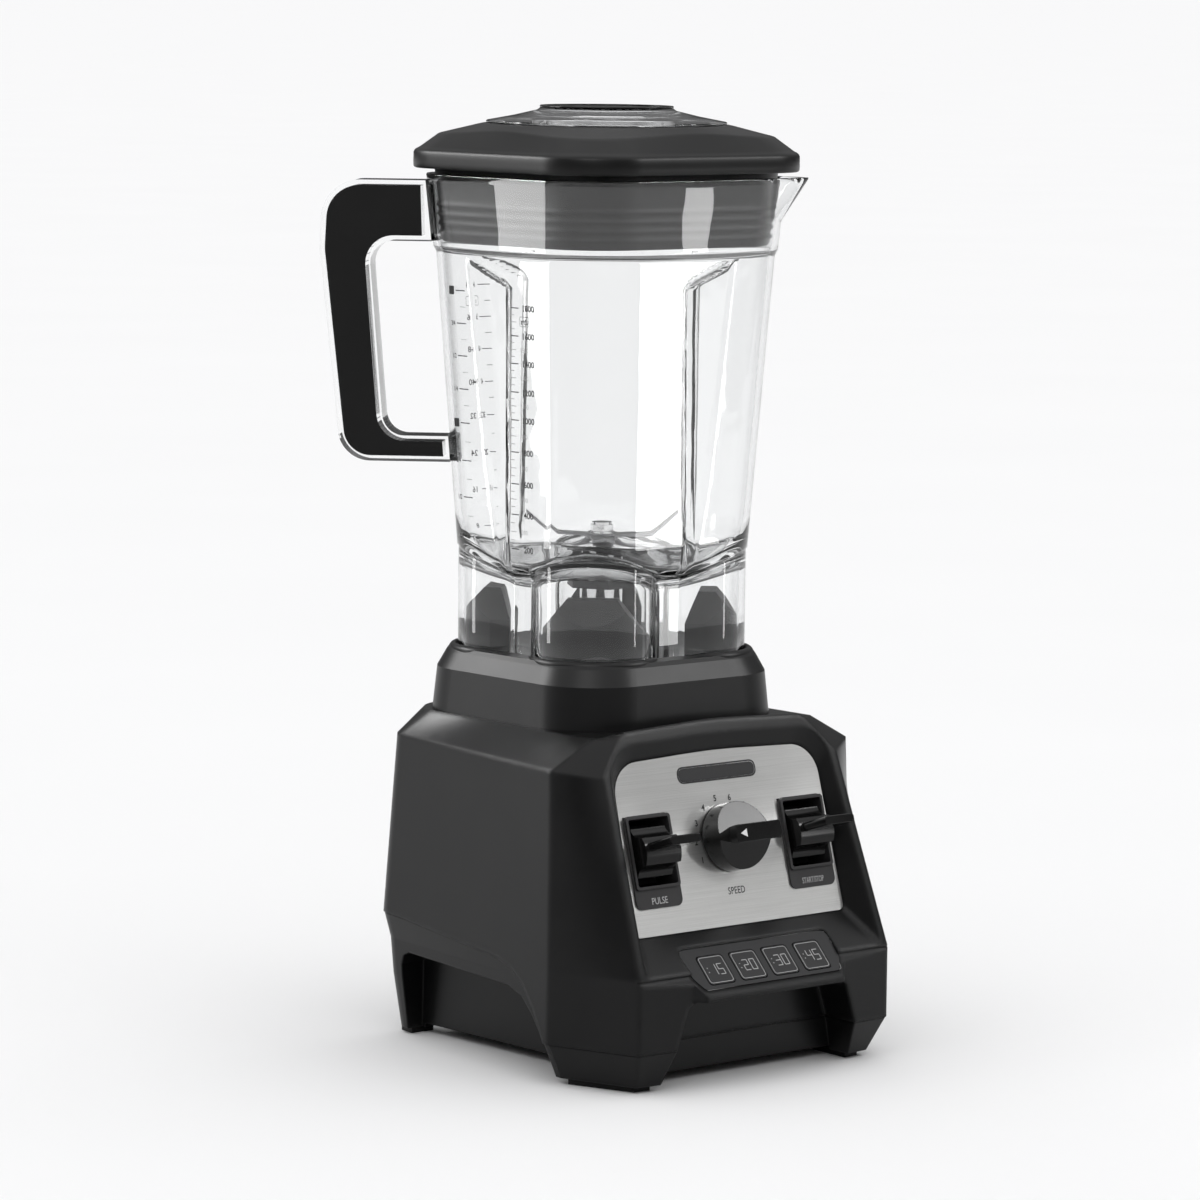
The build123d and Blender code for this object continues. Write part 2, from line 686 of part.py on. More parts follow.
def speed_control():
    """Body of the speed control, with its bush through the panel."""
    bush = prism_on(PLATE, Circle(POT_BUSH_R), -11, -0.2, 0, KNOB_V)
    can = prism_on(PLATE, Circle(12), -27, -11, 0, KNOB_V)
    tabs = [prism_on(PLATE, Rectangle(2, 9), -20, -19, x, KNOB_V - 15) for x in (-5, 0, 5)]
    bore = prism_on(PLATE, Circle(KNOB_SHAFT_R + RUNNING), -PLATE_THICK - 20, 5, 0, KNOB_V)
    return fuse([bush, can, *tabs]) - bore


# ---------------------------------------------------------------- keypad


def key_x(index):
    """Middle of one timer key."""
    return (index - 1.5) * KEY_PITCH


def key_face(size):
    """Outline of one key: a rounded square that leans outwards a little."""
    half = size / 2
    points = [(-half, -half), (half, -half), (half, half), (-half, half)]
    return make_face(FilletPolyline(*points, radius=2.2, close=True))


def keypad_bezel():
    """Thin surround with four windows."""
    sheet = prism_on(KEYPAD, keypad_outline(0), -1.5, 0.3)
    windows = [prism_on(KEYPAD, key_face(KEY_SIZE + 2 * LOOSE), -4, 4, key_x(i), KEY_V) for i in range(4)]
    return sheet - fuse(windows)


def timer_key(index):
    """One timer key with the stem that meets its switch."""
    cap = prism_on(KEYPAD, key_face(KEY_SIZE), -1.8, KEY_FACE, key_x(index), KEY_V)
    stem = prism_on(KEYPAD, Circle(2.2), -KEY_STEM, -1.8, key_x(index), KEY_V)
    return cap + stem


def timer_board():
    """Circuit board under the keys with one switch for each key."""
    top = BOARD_THICK - KEYPAD_DEPTH
    board = prism_on(KEYPAD, RectangleRounded(4 * KEY_PITCH - 1, KEY_SIZE + 1, 2), -KEYPAD_DEPTH, top, 0,
                     KEY_V)
    switches = [prism_on(KEYPAD, Rectangle(6, 6), top, -KEY_STEM - KEY_TRAVEL - 0.1, key_x(i), KEY_V)
                for i in range(4)]
    return fuse([board, *switches])


# ---------------------------------------------------------------- back of the base
def back_piece(solid, x):
    """Place a piece, made along +Z, on the back face with +Z pointing backwards."""
    return Pos(x, rear_y(GLAND_Z), GLAND_Z) * Rot(-90, 0, 0) * solid


def cord_gland():
    """Flanged gland with an open bore where the cord would enter."""
    body = cylinder(GLAND_R, -8, 1) + cylinder(12.0, 0.6, 3.0) + Pos(0, 0, 6) * Cone(8.0, 6.2, 6)
    clip = cylinder(11.0, -8, -5)
    return back_piece(body + clip - cylinder(3.6, -20, 20), 0)


def breaker():
    """Body of the overload breaker with its threaded neck."""
    body = cylinder(BREAKER_R, -6, 1.5) + cylinder(9.0, 1.0, 2.4) + box(-9, 9, -7, 7, -13.5, -6)
    return back_piece(body - cylinder(4.0, -3.5, 20), BREAKER_X)


def reset_button():
    """Push-to-reset button of the breaker."""
    return back_piece(cylinder(3.7, -1.8, 5.0), BREAKER_X)


# ---------------------------------------------------------------- motor


def motor_shaft():
    """The motor's shaft, from the fan to the drive socket."""
    return cylinder(MOTOR_SHAFT_R, FAN_LOW_Z - 3, SPLINE_LOW_Z - 1.0)


def armature_core():
    """Slotted laminations of the armature."""
    core = tube(ARMATURE_R, MOTOR_SHAFT_R, STACK_LOW_Z, STACK_HIGH_Z)
    slots = [Rot(0, 0, k * 30) * box(ARMATURE_R - 9, ARMATURE_R + 2, -1.4, 1.4, STACK_LOW_Z - 1,
                                     STACK_HIGH_Z + 1)
             for k in range(12)]
    return core - fuse(slots)


def armature_windings():
    """End turns above and below the armature core."""
    ends = []
    for low, high in ((STACK_LOW_Z - 9, STACK_LOW_Z), (STACK_HIGH_Z, STACK_HIGH_Z + 10)):
        ends.append(tube(ARMATURE_R - 2.5, MOTOR_SHAFT_R + 2.0, low, high))
    return group(ends)


def commutator():
    """Copper commutator with the gaps between its bars."""
    drum = tube(COMMUTATOR_R, MOTOR_SHAFT_R, COMMUTATOR_LOW, COMMUTATOR_HIGH)
    gaps = [Rot(0, 0, k * 15) * box(COMMUTATOR_R - 1, COMMUTATOR_R + 1, -0.3, 0.3, COMMUTATOR_LOW - 1,
                                    COMMUTATOR_HIGH)
            for k in range(24)]
    return drum - fuse(gaps)


def cooling_fan():
    """Radial fan: hub, back plate and straight blades."""
    hub = cylinder(11, FAN_LOW_Z, FAN_LOW_Z + 14)
    plate = cylinder(FAN_R, FAN_LOW_Z + 11, FAN_LOW_Z + 13)
    blades = [Rot(0, 0, k * 30) * Pos(0, 4, 0) * box(10, FAN_R - 2, -0.9, 0.9, FAN_LOW_Z, FAN_LOW_Z + 11)
              for k in range(12)]
    return fuse([hub, plate, *blades]) - cylinder(MOTOR_SHAFT_R, 0, 60)


def field_stack():
    """Square laminated field with two poles, the coil windows and four bolt holes."""
    square = RectangleRounded(2 * STACK_HALF, 2 * STACK_HALF, STACK_CORNER)
    stack = Pos(0, 0, STACK_LOW_Z) * extrude(square, amount=STACK_HIGH_Z - STACK_LOW_Z)
    stack = stack - cylinder(ARMATURE_R + AIR_GAP, STACK_LOW_Z - 1, STACK_HIGH_Z + 1)
    for side in X_SIDES:
        stack = stack - box(side * POLE_HALF, side * (COIL_HALF + 0.4), -COIL_Y[1] - 0.4, COIL_Y[1] + 0.4,
                            STACK_LOW_Z - 1, STACK_HIGH_Z + 1)
    for x, y in motor_corners():
        stack = stack - cylinder(FIELD_BOLT_R + SEAT, STACK_LOW_Z - 1, STACK_HIGH_Z + 1, x, y)
    return stack


def field_coils():
    """Two coils, each wound round one pole."""
    coils = []
    for side in X_SIDES:
        ring = box(-COIL_HALF, COIL_HALF, COIL_Y[0], COIL_Y[1], STACK_LOW_Z - 9, STACK_HIGH_Z + 9)
        ring = ring - box(-POLE_HALF, POLE_HALF, 0, 60, STACK_LOW_Z, STACK_HIGH_Z)
        coils.append(ring if side > 0 else Rot(0, 0, 180) * ring)
    return group(coils)


def motor_bracket(z):
    """Cross-shaped end bracket: bearing boss, four arms and bolt holes."""
    arms = [Rot(0, 0, angle) * box(-56, 56, -7, 7, z, z + BRACKET_THICK) for angle in (45, 135)]
    boss = cylinder(BEARING_R + 3, z, z + BEARING_HEIGHT)
    bracket = fuse([*arms, boss]) - cylinder(BEARING_R, z + 1.0, z + BEARING_HEIGHT + 1)
    bracket = bracket - cylinder(MOTOR_SHAFT_R + 1.5, z - 1, z + 2)
    for x, y in motor_corners():
        bracket = bracket - cylinder(FIELD_BOLT_R + 0.1, z - 1, z + BRACKET_THICK + 1, x, y)
    return bracket


def motor_bearings():
    """Two ball bearings, one in each bracket."""
    return group([tube(BEARING_R, MOTOR_SHAFT_R + RUNNING, z + 1.0, z + BEARING_HEIGHT)
                  for z in (TOP_BRACKET_Z, LOW_BRACKET_Z)])


def through_bolts():
    """Four bolts that clamp the brackets on the field, with spacer sleeves."""
    bolts = []
    for x, y in motor_corners():
        bolt = cylinder(FIELD_BOLT_R, LOW_BRACKET_Z, TOP_BRACKET_Z + BRACKET_THICK, x, y)
        head = cylinder(4.2, LOW_BRACKET_Z - 3, LOW_BRACKET_Z, x, y)
        sleeve = cylinder(4.0, LOW_BRACKET_Z + BRACKET_THICK, STACK_LOW_Z, x, y)
        upper = cylinder(4.0, STACK_HIGH_Z, TOP_BRACKET_Z, x, y)
        bolts.append(fuse([bolt, head, sleeve, upper]))
    return group(bolts)


def motor_mounts():
    """Four rubber isolators between the top bracket and the housing's bosses."""
    low = TOP_BRACKET_Z + BRACKET_THICK
    high = DECK_Z - HOUSING_WALL - 9
    return group([tube(6.5, 2.2, low, high, x, y) for x, y in motor_corners()])


def brush_holders():
    """Two brass brush tubes, either side of the commutator."""
    z = (COMMUTATOR_LOW + COMMUTATOR_HIGH) / 2
    holders = []
    for side in X_SIDES:
        outer = box(side * (COMMUTATOR_R + 2.5), side * 36, -4.5, 4.5, z - 5, z + 5)
        inner = box(side * (COMMUTATOR_R + 1), side * 34.5, -3.0, 3.0, z - 3.5, z + 3.5)
        holders.append(outer - inner)
    return group(holders)


def carbon_brushes():
    """Two carbon brushes that bear on the commutator."""
    z = (COMMUTATOR_LOW + COMMUTATOR_HIGH) / 2
    return group([box(side * (COMMUTATOR_R + 0.1), side * 30, -2.9, 2.9, z - 3.4, z + 3.4)
                  for side in X_SIDES])


def air_baffle():
    """Plate across the tub with the fan's inlet shroud."""
    half = TUB_HALF - PAN_WALL
    sheet = box(-half, half, -62, TUB_REAR_Y - PAN_WALL, FAN_LOW_Z + 16, FAN_LOW_Z + 18)
    ring = tube(FAN_R + 4, FAN_R + 2, FAN_LOW_Z + 2, FAN_LOW_Z + 16)
    return sheet + ring - cylinder(24, 0, 60)


def control_board():
    """Motor control board with a heat sink and two capacitors."""
    board = box(-38, 26, 62.0, 63.6, 96, 142)
    sink = box(-34, -10, 50, 62.0, 104, 136)
    fins = fuse([box(-31 + 5 * k, -28.5 + 5 * k, 48, 58, 103, 137) for k in range(4)])
    cans = [Pos(x, 56.0, 112) * Rot(90, 0, 0) * Cylinder(6.5, 12) for x in (2, 17)]
    return fuse([board, sink - fins, *cans])


# ---------------------------------------------------------------- jar pad and drive
def quatrefoil(half, radius, core, low, high):
    """Four round lobes round a square core: the jar's skirt shape."""
    lobe = half - radius
    lobes = [cylinder(radius, low, high, x * lobe, y * lobe) for x in X_SIDES for y in X_SIDES]
    return fuse([box(-core, core, -core, core, low, high), *lobes])


def jar_pad():
    """Collar with the skirt's seat, a lobed lip and four locating posts."""
    body = stack_squares([
        (DECK_Z, PAD_HALF_LOW, PAD_CORNER), (PAD_SEAT_Z - 4, PAD_HALF_HIGH, PAD_CORNER),
        (PAD_LIP_Z - 2, PAD_HALF_HIGH - 3.8, PAD_CORNER - 2),
        (PAD_LIP_Z, PAD_HALF_HIGH - 5.2, PAD_CORNER - 3),
    ])
    seat = quatrefoil(SKIRT_HALF + LOOSE, SKIRT_CORNER + LOOSE, SKIRT_CORE + LOOSE,
                      PAD_SEAT_Z, PAD_LIP_Z + 2)
    under = stack_squares([(DECK_Z - 1, PAD_HALF_LOW - 4.5, PAD_CORNER - 4),
                           (PAD_SEAT_Z - 5, 61.0, 29.0)])
    posts = fuse([jar_post(angle) for angle in (45, 135, 225, 315)])
    pad = body - seat - under + posts - cylinder(PAD_BORE_R, DECK_Z - 2, 300)
    stubs = [cylinder(6, DECK_Z, PAD_SEAT_Z - 4, x, y) for x, y in pad_screw_places()]
    holes = [cylinder(2.0, DECK_Z - 2, PAD_SEAT_Z + 2, x, y) for x, y in pad_screw_places()]
    return fuse([pad, *stubs]) - fuse(holes)


def pad_screw_places():
    """Places of the screws that hold the jar pad on the deck."""
    return [(PAD_SCREW_AT, 0), (0, PAD_SCREW_AT), (-PAD_SCREW_AT, 0), (0, -PAD_SCREW_AT)]


def jar_post(angle):
    """One round-backed post with a tapered top, standing in a lobe of the skirt."""
    centre = (SKIRT_HALF - SKIRT_CORNER) * sqrt(2)
    radius = SKIRT_CORNER - JAR_WALL - 1.0
    foot = PAD_SEAT_Z - 1
    column = cylinder(radius, foot, POST_TOP_Z, centre, 0)
    half = POST_WIDTH / 2
    gable = across([(-half, foot), (-half, 209), (-12, POST_TOP_Z), (12, POST_TOP_Z), (half, 209),
                    (half, foot)],
                   0, 100)
    taper = along_y([(42, foot), (70, foot), (70, 207), (56, POST_TOP_Z), (48, POST_TOP_Z), (42, 209)],
                    -50, 50)
    return Rot(0, 0, angle) * (column & gable & taper)


def pad_screws():
    """Four pan-head screws in the jar pad's seat."""
    screws = []
    for x, y in pad_screw_places():
        head = cylinder(3.6, PAD_SEAT_Z, PAD_SEAT_Z + 2, x, y)
        screws.append(head + cylinder(PAD_SCREW_R, DECK_Z - 6, PAD_SEAT_Z, x, y))
    return group(screws)


def spline(tip, root, teeth, low, high):
    """A star of flat-topped teeth between two heights."""
    points = []
    for k in range(teeth):
        for share, radius in ((-0.36, root), (-0.2, tip), (0.2, tip), (0.36, root)):
            angle = 2 * pi * (k + share) / teeth
            points.append((radius * cos(angle), radius * sin(angle), low))
    return extrude(make_face(Polyline(*points, close=True)), amount=high - low, dir=(0, 0, 1))


def drive_socket():
    """Female coupling on the motor shaft."""
    body = cylinder(SOCKET_R, SOCKET_LOW_Z, SOCKET_HIGH_Z)
    hollow = spline(SPLINE_R + SEAT, SPLINE_R - 2.2 + SEAT, 6, SPLINE_LOW_Z - 1.0, SOCKET_HIGH_Z + 1)
    return body - hollow - cylinder(MOTOR_SHAFT_R, SOCKET_LOW_Z - 1, SPLINE_LOW_Z)


def drive_spline():
    """Male coupling on the blade shaft."""
    teeth = spline(SPLINE_R, SPLINE_R - 2.2, 6, SPLINE_LOW_Z, SPLINE_HIGH_Z)
    return teeth - cylinder(BLADE_SHAFT_R, 180, 220)


# ---------------------------------------------------------------- jar


def flute(side_angle, grow):
    """One tapered groove in a face, larger by grow; the jar's wall follows it inwards.

    It widens upwards and leans towards the handle or the spout, whichever is at its face's end.
    """
    lean = FLUTE_SHIFT if side_angle in (90, 270) else -FLUTE_SHIFT
    sections = []
    for z, middle, half, depth, face in ((JAR_LOW_Z + 2, lean * 0.7, 3.5, 2.2, JAR_LOW_HALF),
                                         (JAR_HIGH_Z - 9, lean, FLUTE_HALF, FLUTE_DEPTH,
                                          JAR_HIGH_HALF)):
        back = half * 0.3 + grow * 0.6
        points = [(face + 1, middle + half + grow, z), (face - depth - grow, middle + back, z),
                  (face - depth - grow, middle - back, z), (face + 1, middle - half - grow, z)]
        sections.append(make_face(Polyline(*points, close=True)))
    return Rot(0, 0, side_angle) * loft(sections, ruled=True)


def jar_shell():
    """The clear wall: skirt, square body with four flutes, and the top ring."""
    low_corner = SKIRT_CORNER
    body = stack_squares([(SKIRT_TOP_Z - 10, SKIRT_HALF, low_corner),
                          (JAR_LOW_Z, JAR_LOW_HALF, low_corner),
                          (JAR_HIGH_Z, JAR_HIGH_HALF, JAR_CORNER)])
    ring = stack_squares([(JAR_HIGH_Z, RING_HALF, RING_CORNER), (JAR_TOP_Z, RING_TOP_HALF, RING_CORNER)])
    skirt = quatrefoil(SKIRT_HALF, SKIRT_CORNER, SKIRT_CORE, PAD_SEAT_Z, SKIRT_TOP_Z - 8)
    wall = JAR_WALL
    inner = stack_squares([(DISH_FLOOR_Z, 45.0, 22.0), (243.0, 53.4, 26.0), (253.0, 56.4, 27.0),
                           (JAR_HIGH_Z, JAR_HIGH_HALF - wall, JAR_CORNER - wall)])
    inner_ring = stack_squares([(JAR_HIGH_Z, RING_HALF - wall, RING_CORNER - wall),
                                (JAR_TOP_Z + 2, RING_TOP_HALF - wall + 0.15, RING_CORNER - wall)])
    under = quatrefoil(SKIRT_HALF - wall, SKIRT_CORNER - wall, SKIRT_CORE - wall, PAD_SEAT_Z - 1,
                       DISH_FLOOR_Z - FLOOR_THICK)
    for angle in (0, 90, 180, 270):
        inner = inner - flute(angle, wall)
        body = body - flute(angle, 0)
    return (body + ring + skirt) - inner - inner_ring - under - cylinder(FLOOR_HOLE_R, 200, 250)


def wall_reach(z):
    """Distance from the axis to the jar's outer wall along a diagonal, at height z."""
    if z >= JAR_HIGH_Z:
        share = (z - JAR_HIGH_Z) / (JAR_TOP_Z - JAR_HIGH_Z)
        half, corner = RING_HALF + (RING_TOP_HALF - RING_HALF) * share, RING_CORNER
    else:
        share = (z - JAR_LOW_Z) / (JAR_HIGH_Z - JAR_LOW_Z)
        half = JAR_LOW_HALF + (JAR_HIGH_HALF - JAR_LOW_HALF) * share
        corner = SKIRT_CORNER + (JAR_CORNER - SKIRT_CORNER) * share
    return (half - corner) * sqrt(2) + corner


def handle_face(inset):
    """The handle seen from its side, as (distance from the axis, height), moved inwards by inset."""
    foot = wall_reach(HANDLE_LOW_Z) - 1.2 + (inset * 1.6)
    ring = wall_reach(HANDLE_TOP_Z) - 1.2 + (inset * 1.2)
    step = JAR_HIGH_Z - 0.5
    outer = [
        (foot, HANDLE_LOW_Z + inset), (HANDLE_REACH - 11.0 - inset, HANDLE_LOW_Z + inset),
        (HANDLE_REACH - inset, GAP_TOP_Z - 4), (HANDLE_REACH - 1.5 - inset, HANDLE_TOP_Z - inset),
        (ring, HANDLE_TOP_Z - inset), (ring - 1.0, step),
        (wall_reach(step) - 1.2 + inset * 1.6, step - 1.0),
    ]
    solid = make_face(FilletPolyline(*outer, radius=[0, 16 - inset, 30, 19 - inset, 0, 0, 0], close=True))
    grip = HANDLE_REACH - GRIP_DEPTH
    gap = [(60, GAP_LOW_Z - inset), (grip - 8.0 + inset, GAP_LOW_Z - inset),
           (grip + inset, GAP_TOP_Z + inset),
           (60, GAP_TOP_Z + inset)]
    hole = make_face(FilletPolyline(*gap, radius=[0, 11 + inset, 11 + inset, 0], close=True))
    return solid - hole


def handle_slab(face, width):
    """A handle face raised to a width and turned to the back left corner."""
    slab = Rot(90, 0, 0) * Pos(0, 0, -width / 2) * extrude(face, amount=width)
    return Rot(0, 0, HANDLE_ANGLE) * slab


def handle_frame():
    """Clear rim that frames the handle's grip."""
    hollow = handle_slab(handle_face(HANDLE_RIM), HANDLE_WIDTH + 2)
    return handle_slab(handle_face(0), HANDLE_WIDTH) - hollow


def handle_grip():
    """Black grip that fills the handle's frame."""
    return handle_slab(handle_face(HANDLE_RIM), HANDLE_WIDTH - 2.0)


def spout_wedge(shrink, rise):
    """The pouring lip's wedge, as an upside-down pyramid in the corner of the ring."""
    sections = []
    for z, reach, half in ((SPOUT_LOW_Z, wall_reach(SPOUT_LOW_Z) + 0.5, 3.0),
                           (JAR_TOP_Z - 2.5, SPOUT_REACH, 17.0)):
        root = wall_reach(z) - JAR_WALL * (1.6 if shrink else 0.8)
        points = [(root, -half + shrink, z), (reach - shrink * 1.3, -1.2, z),
                  (reach - shrink * 1.3, 1.2, z),
                  (root, half - shrink, z)]
        sections.append(make_face(Polyline(*points, close=True)))
    return Rot(0, 0, SPOUT_ANGLE) * (Pos(0, 0, rise) * loft(sections, ruled=True))


def jar_body():
    """The clear jar: wall, handle frame and pouring lip."""
    shell = jar_shell()
    spout = spout_wedge(0, 0)
    groove = spout_wedge(2.0, 2.6)
    frame = handle_frame()
    return (shell + frame + spout) - groove


# ---------------------------------------------------------------- blade set
def revolved(points):
    """A round solid from a (radius, height) outline."""
    face = make_face(Polyline(*[(r, 0, z) for r, z in points], close=True))
    return revolve(face, axis=Axis.Z)


def jar_gasket():
    """Flat gasket under the bearing housing's flange."""
    return tube(20.0, FLOOR_HOLE_R, DISH_FLOOR_Z, DISH_FLOOR_Z + 1.0)


def bearing_housing():
    """Steel cone over the jar's floor with the bearing sleeve below it."""
    flange = DISH_FLOOR_Z + 1.0
    shell = revolved([
        (BLADE_SHAFT_R + 0.4, CONE_TOP_Z), (9.0, CONE_TOP_Z), (11.5, CONE_TOP_Z - 2), (19.0, flange
                + 1.6),
        (20.5, flange), (BEARING_SLEEVE_R, flange), (BEARING_SLEEVE_R, SLEEVE_LOW_Z), (BEARING_BORE_R,
                SLEEVE_LOW_Z),
        (BEARING_BORE_R, CONE_TOP_Z - 3), (BLADE_SHAFT_R + 0.4, CONE_TOP_Z - 3),
    ])
    return shell


def retainer_nut():
    """Large hexagonal nut that draws the bearing housing down on the jar's floor."""
    top = DISH_FLOOR_Z - FLOOR_THICK
    hexagon = Pos(0, 0, top - 8) * extrude(RegularPolygon(19.0, 6), amount=8)
    flange = cylinder(21.0, top - 2, top)
    return hexagon + flange - cylinder(BEARING_SLEEVE_R, 200, 250)


def blade_bearings():
    """Two ball bearings in the sleeve."""
    return group([tube(BEARING_BORE_R, BLADE_SHAFT_R + RUNNING, low, low + 7)
                  for low in (SLEEVE_LOW_Z + 1, 226.0)])


def shaft_seal():
    """Lip seal over the upper bearing."""
    return tube(BEARING_BORE_R, BLADE_SHAFT_R + RUNNING, 235.0, CONE_TOP_Z - 3.5)


def blade_shaft():
    """Shaft from the drive spline to the nut, with the shoulder the blades sit on."""
    return cylinder(BLADE_SHAFT_R, SPLINE_LOW_Z + 0.5, NUT_TOP_Z - 0.5) + cylinder(6.5, CONE_TOP_Z + 0.3,
            BLADE_Z - BLADE_THICK - 0.1)


def blade_wing(reach, width, slope, tip_slope, tip_length):
    """One wing: a tapered strip that slopes away from the hub's edge, with a bent tip."""
    root = BLADE_HUB_R - 0.6
    bend = reach - tip_length
    low = [(-4, 0), (root, 0), (bend, (bend - root) * tan(radians(slope)))]
    low.append((reach, low[-1][1] + tip_length * tan(radians(tip_slope))))
    high = [(x, z + BLADE_THICK) for x, z in reversed(low)]
    strip = along_y(low + high, -width, width)
    plan = extrude(Polygon((-4, -width / 2), (bend, -width * 0.42), (reach, -width * 0.1),
                           (reach, width * 0.02),
                           (bend, width * 0.36), (-4, width / 2), align=None), amount=80)
    return strip & Pos(0, 0, -30) * plan


def upper_blade():
    """Blade with both wings bent upwards."""
    wings = [Rot(0, 0, angle) * blade_wing(BLADE_REACH, 15.0, 6, 42, 13.0)
             for angle in (BLADE_TURN, BLADE_TURN + 180)]
    hub = cylinder(BLADE_HUB_R, 0, BLADE_THICK)
    return Pos(0, 0, BLADE_Z) * (fuse([hub, *wings]) - cylinder(BLADE_SHAFT_R, -5, 20))


def lower_blade():
    """Blade with flatter wings, set across the upper one."""
    wings = [Rot(0, 0, angle) * blade_wing(BLADE_REACH - 1.5, 14.0, -3, 14, 12.0)
             for angle in (BLADE_TURN + 90, BLADE_TURN + 270)]
    hub = cylinder(BLADE_HUB_R, 0, BLADE_THICK)
    return Pos(0, 0, BLADE_Z - BLADE_THICK - 0.1) * (fuse([hub, *wings])
                                                     - cylinder(BLADE_SHAFT_R, -5, 20))


def blade_washer():
    """Washer under the nut."""
    return tube(7.0, BLADE_SHAFT_R, BLADE_Z + BLADE_THICK, BLADE_Z + 3.0)


def blade_nut():
    """Hexagonal lock nut on top of the blades."""
    low = BLADE_Z + 3.0
    hexagon = Pos(0, 0, low) * extrude(RegularPolygon(6.2, 6), amount=4.6)
    collar = cylinder(5.2, low, NUT_TOP_Z)
    return hexagon + collar - cylinder(BLADE_SHAFT_R, low - 1, NUT_TOP_Z + 1)


# ---------------------------------------------------------------- lid
def lid():
    """Soft lid: rim, crown with the filler's bore, and the ribbed plug that fits the jar."""
    crown_corner = LID_CROWN_R - 0.5
    top = stack_squares([(LID_LOW_Z, LID_HALF, 33.0), (LID_RIM_Z, LID_HALF - 1.4, 32.0)])
    top = top + loft([squircle(LID_HALF - 2.2, 31.5, LID_RIM_Z),
                      squircle(LID_CROWN_R, crown_corner, LID_CROWN_Z)])
    gap = LOOSE + 0.1
    plug_low = LID_LOW_Z - PLUG_DEPTH
    half = RING_HALF - JAR_WALL - gap
    corner = RING_CORNER - JAR_WALL
    plug = stack_squares([(plug_low, half - 0.6, corner), (LID_LOW_Z, RING_TOP_HALF - JAR_WALL - gap,
                                                           corner)])
    core = stack_squares([(plug_low - 1, half - 4.0, corner - 3),
                          (LID_LOW_Z + 1, half - 3.0, corner - 3)])
    under = loft([squircle(half - 3.0, corner - 3, LID_LOW_Z - 1),
                  squircle(LID_CROWN_R - 8, 50, LID_CROWN_Z - 5)])
    grooves = [lid_groove(plug_low + 6 + 4.5 * k) for k in range(4)]
    collar = tube(CAP_BORE_R + 3.2, CAP_BORE_R, LID_LOW_Z + 1, LID_CROWN_Z - 1)
    return top + plug - core - under - fuse(grooves) + collar - cylinder(CAP_BORE_R, 300, 500)


def lid_groove(z):
    """One shallow groove round the plug, which leaves a seal rib above and below it."""
    outer = Pos(0, 0, z) * extrude(Rectangle(170, 170), amount=2.2)
    half = RING_HALF - JAR_WALL - 2.4 + (z - JAR_HIGH_Z) * (RING_TOP_HALF - RING_HALF) / (JAR_TOP_Z
            - JAR_HIGH_Z)
    inner = Pos(0, 0, z - 1) * extrude(RectangleRounded(2 * half, 2 * half, RING_CORNER - JAR_WALL - 2),
                                       amount=5)
    return outer - inner


def filler_cap():
    """Clear cap: sloped flange, raised disc and a hollow skirt with two lugs."""
    wall = 2.4
    skirt = CAP_BORE_R - LOOSE
    low = LID_LOW_Z + 4
    cap = revolved([
        (0, CAP_TOP_Z), (CAP_DISC_R - 0.8, CAP_TOP_Z), (CAP_DISC_R, CAP_TOP_Z - 0.8), (CAP_DISC_R,
                CAP_TOP_Z - 2.3),
        (CAP_FLANGE_R - 5, LID_CROWN_Z + 3.2), (CAP_FLANGE_R, LID_CROWN_Z + 1.2), (CAP_FLANGE_R,
                LID_CROWN_Z),
        (skirt, LID_CROWN_Z), (skirt, low), (skirt - wall, low), (skirt - wall, CAP_TOP_Z - 2.8), (0,
                CAP_TOP_Z - 2.8),
    ])
    return cap


# ---------------------------------------------------------------- every node
NODES = {
    "upper_housing": upper_housing,
    "bottom_pan": bottom_pan,
    "rubber_feet": rubber_feet,
    "control_plate": control_plate,
    "panel_carrier": panel_carrier,
    "pulse_bezel": lambda: switch_bezel(-1),
    "start_bezel": lambda: switch_bezel(1),
    "pulse_switch": lambda: switch_body(-1),
    "start_switch": lambda: switch_body(1),
    "pulse_paddle": lambda: switch_paddle(-1),
    "start_paddle": lambda: switch_paddle(1),
    "speed_knob": speed_knob,
    "speed_shaft": speed_shaft,
    "speed_control": speed_control,
    "keypad_bezel": keypad_bezel,
    "timer_board": timer_board,
    "cord_gland": cord_gland,
    "breaker": breaker,
    "reset_button": reset_button,
    "motor_shaft": motor_shaft,
    "armature_core": armature_core,
    "armature_windings": armature_windings,
    "commutator": commutator,
    "cooling_fan": cooling_fan,
    "field_stack": field_stack,
    "field_coils": field_coils,
    "motor_top_bracket": lambda: motor_bracket(TOP_BRACKET_Z),
    "motor_low_bracket": lambda: motor_bracket(LOW_BRACKET_Z),
    "motor_bearings": motor_bearings,
    "through_bolts": through_bolts,
    "motor_mounts": motor_mounts,
    "brush_holders": brush_holders,
    "carbon_brushes": carbon_brushes,
    "air_baffle": air_baffle,
    "control_board": control_board,
    "jar_pad": jar_pad,
    "pad_screws": pad_screws,
    "drive_socket": drive_socket,
    "drive_spline": drive_spline,
    "jar_body": jar_body,
    "handle_grip": handle_grip,
    "jar_gasket": jar_gasket,
    "bearing_housing": bearing_housing,
    "retainer_nut": retainer_nut,
    "blade_bearings": blade_bearings,
    "shaft_seal": shaft_seal,
    "blade_shaft": blade_shaft,
    "upper_blade": upper_blade,
    "lower_blade": lower_blade,
    "blade_washer": blade_washer,
    "blade_nut": blade_nut,
    "lid": lid,
    "filler_cap": filler_cap,
}

if __name__ == "__main__":
    for node, make in NODES.items():
        save(make(), node)
    for index, node in enumerate(KEY_NAMES):
        save(timer_key(index), node)
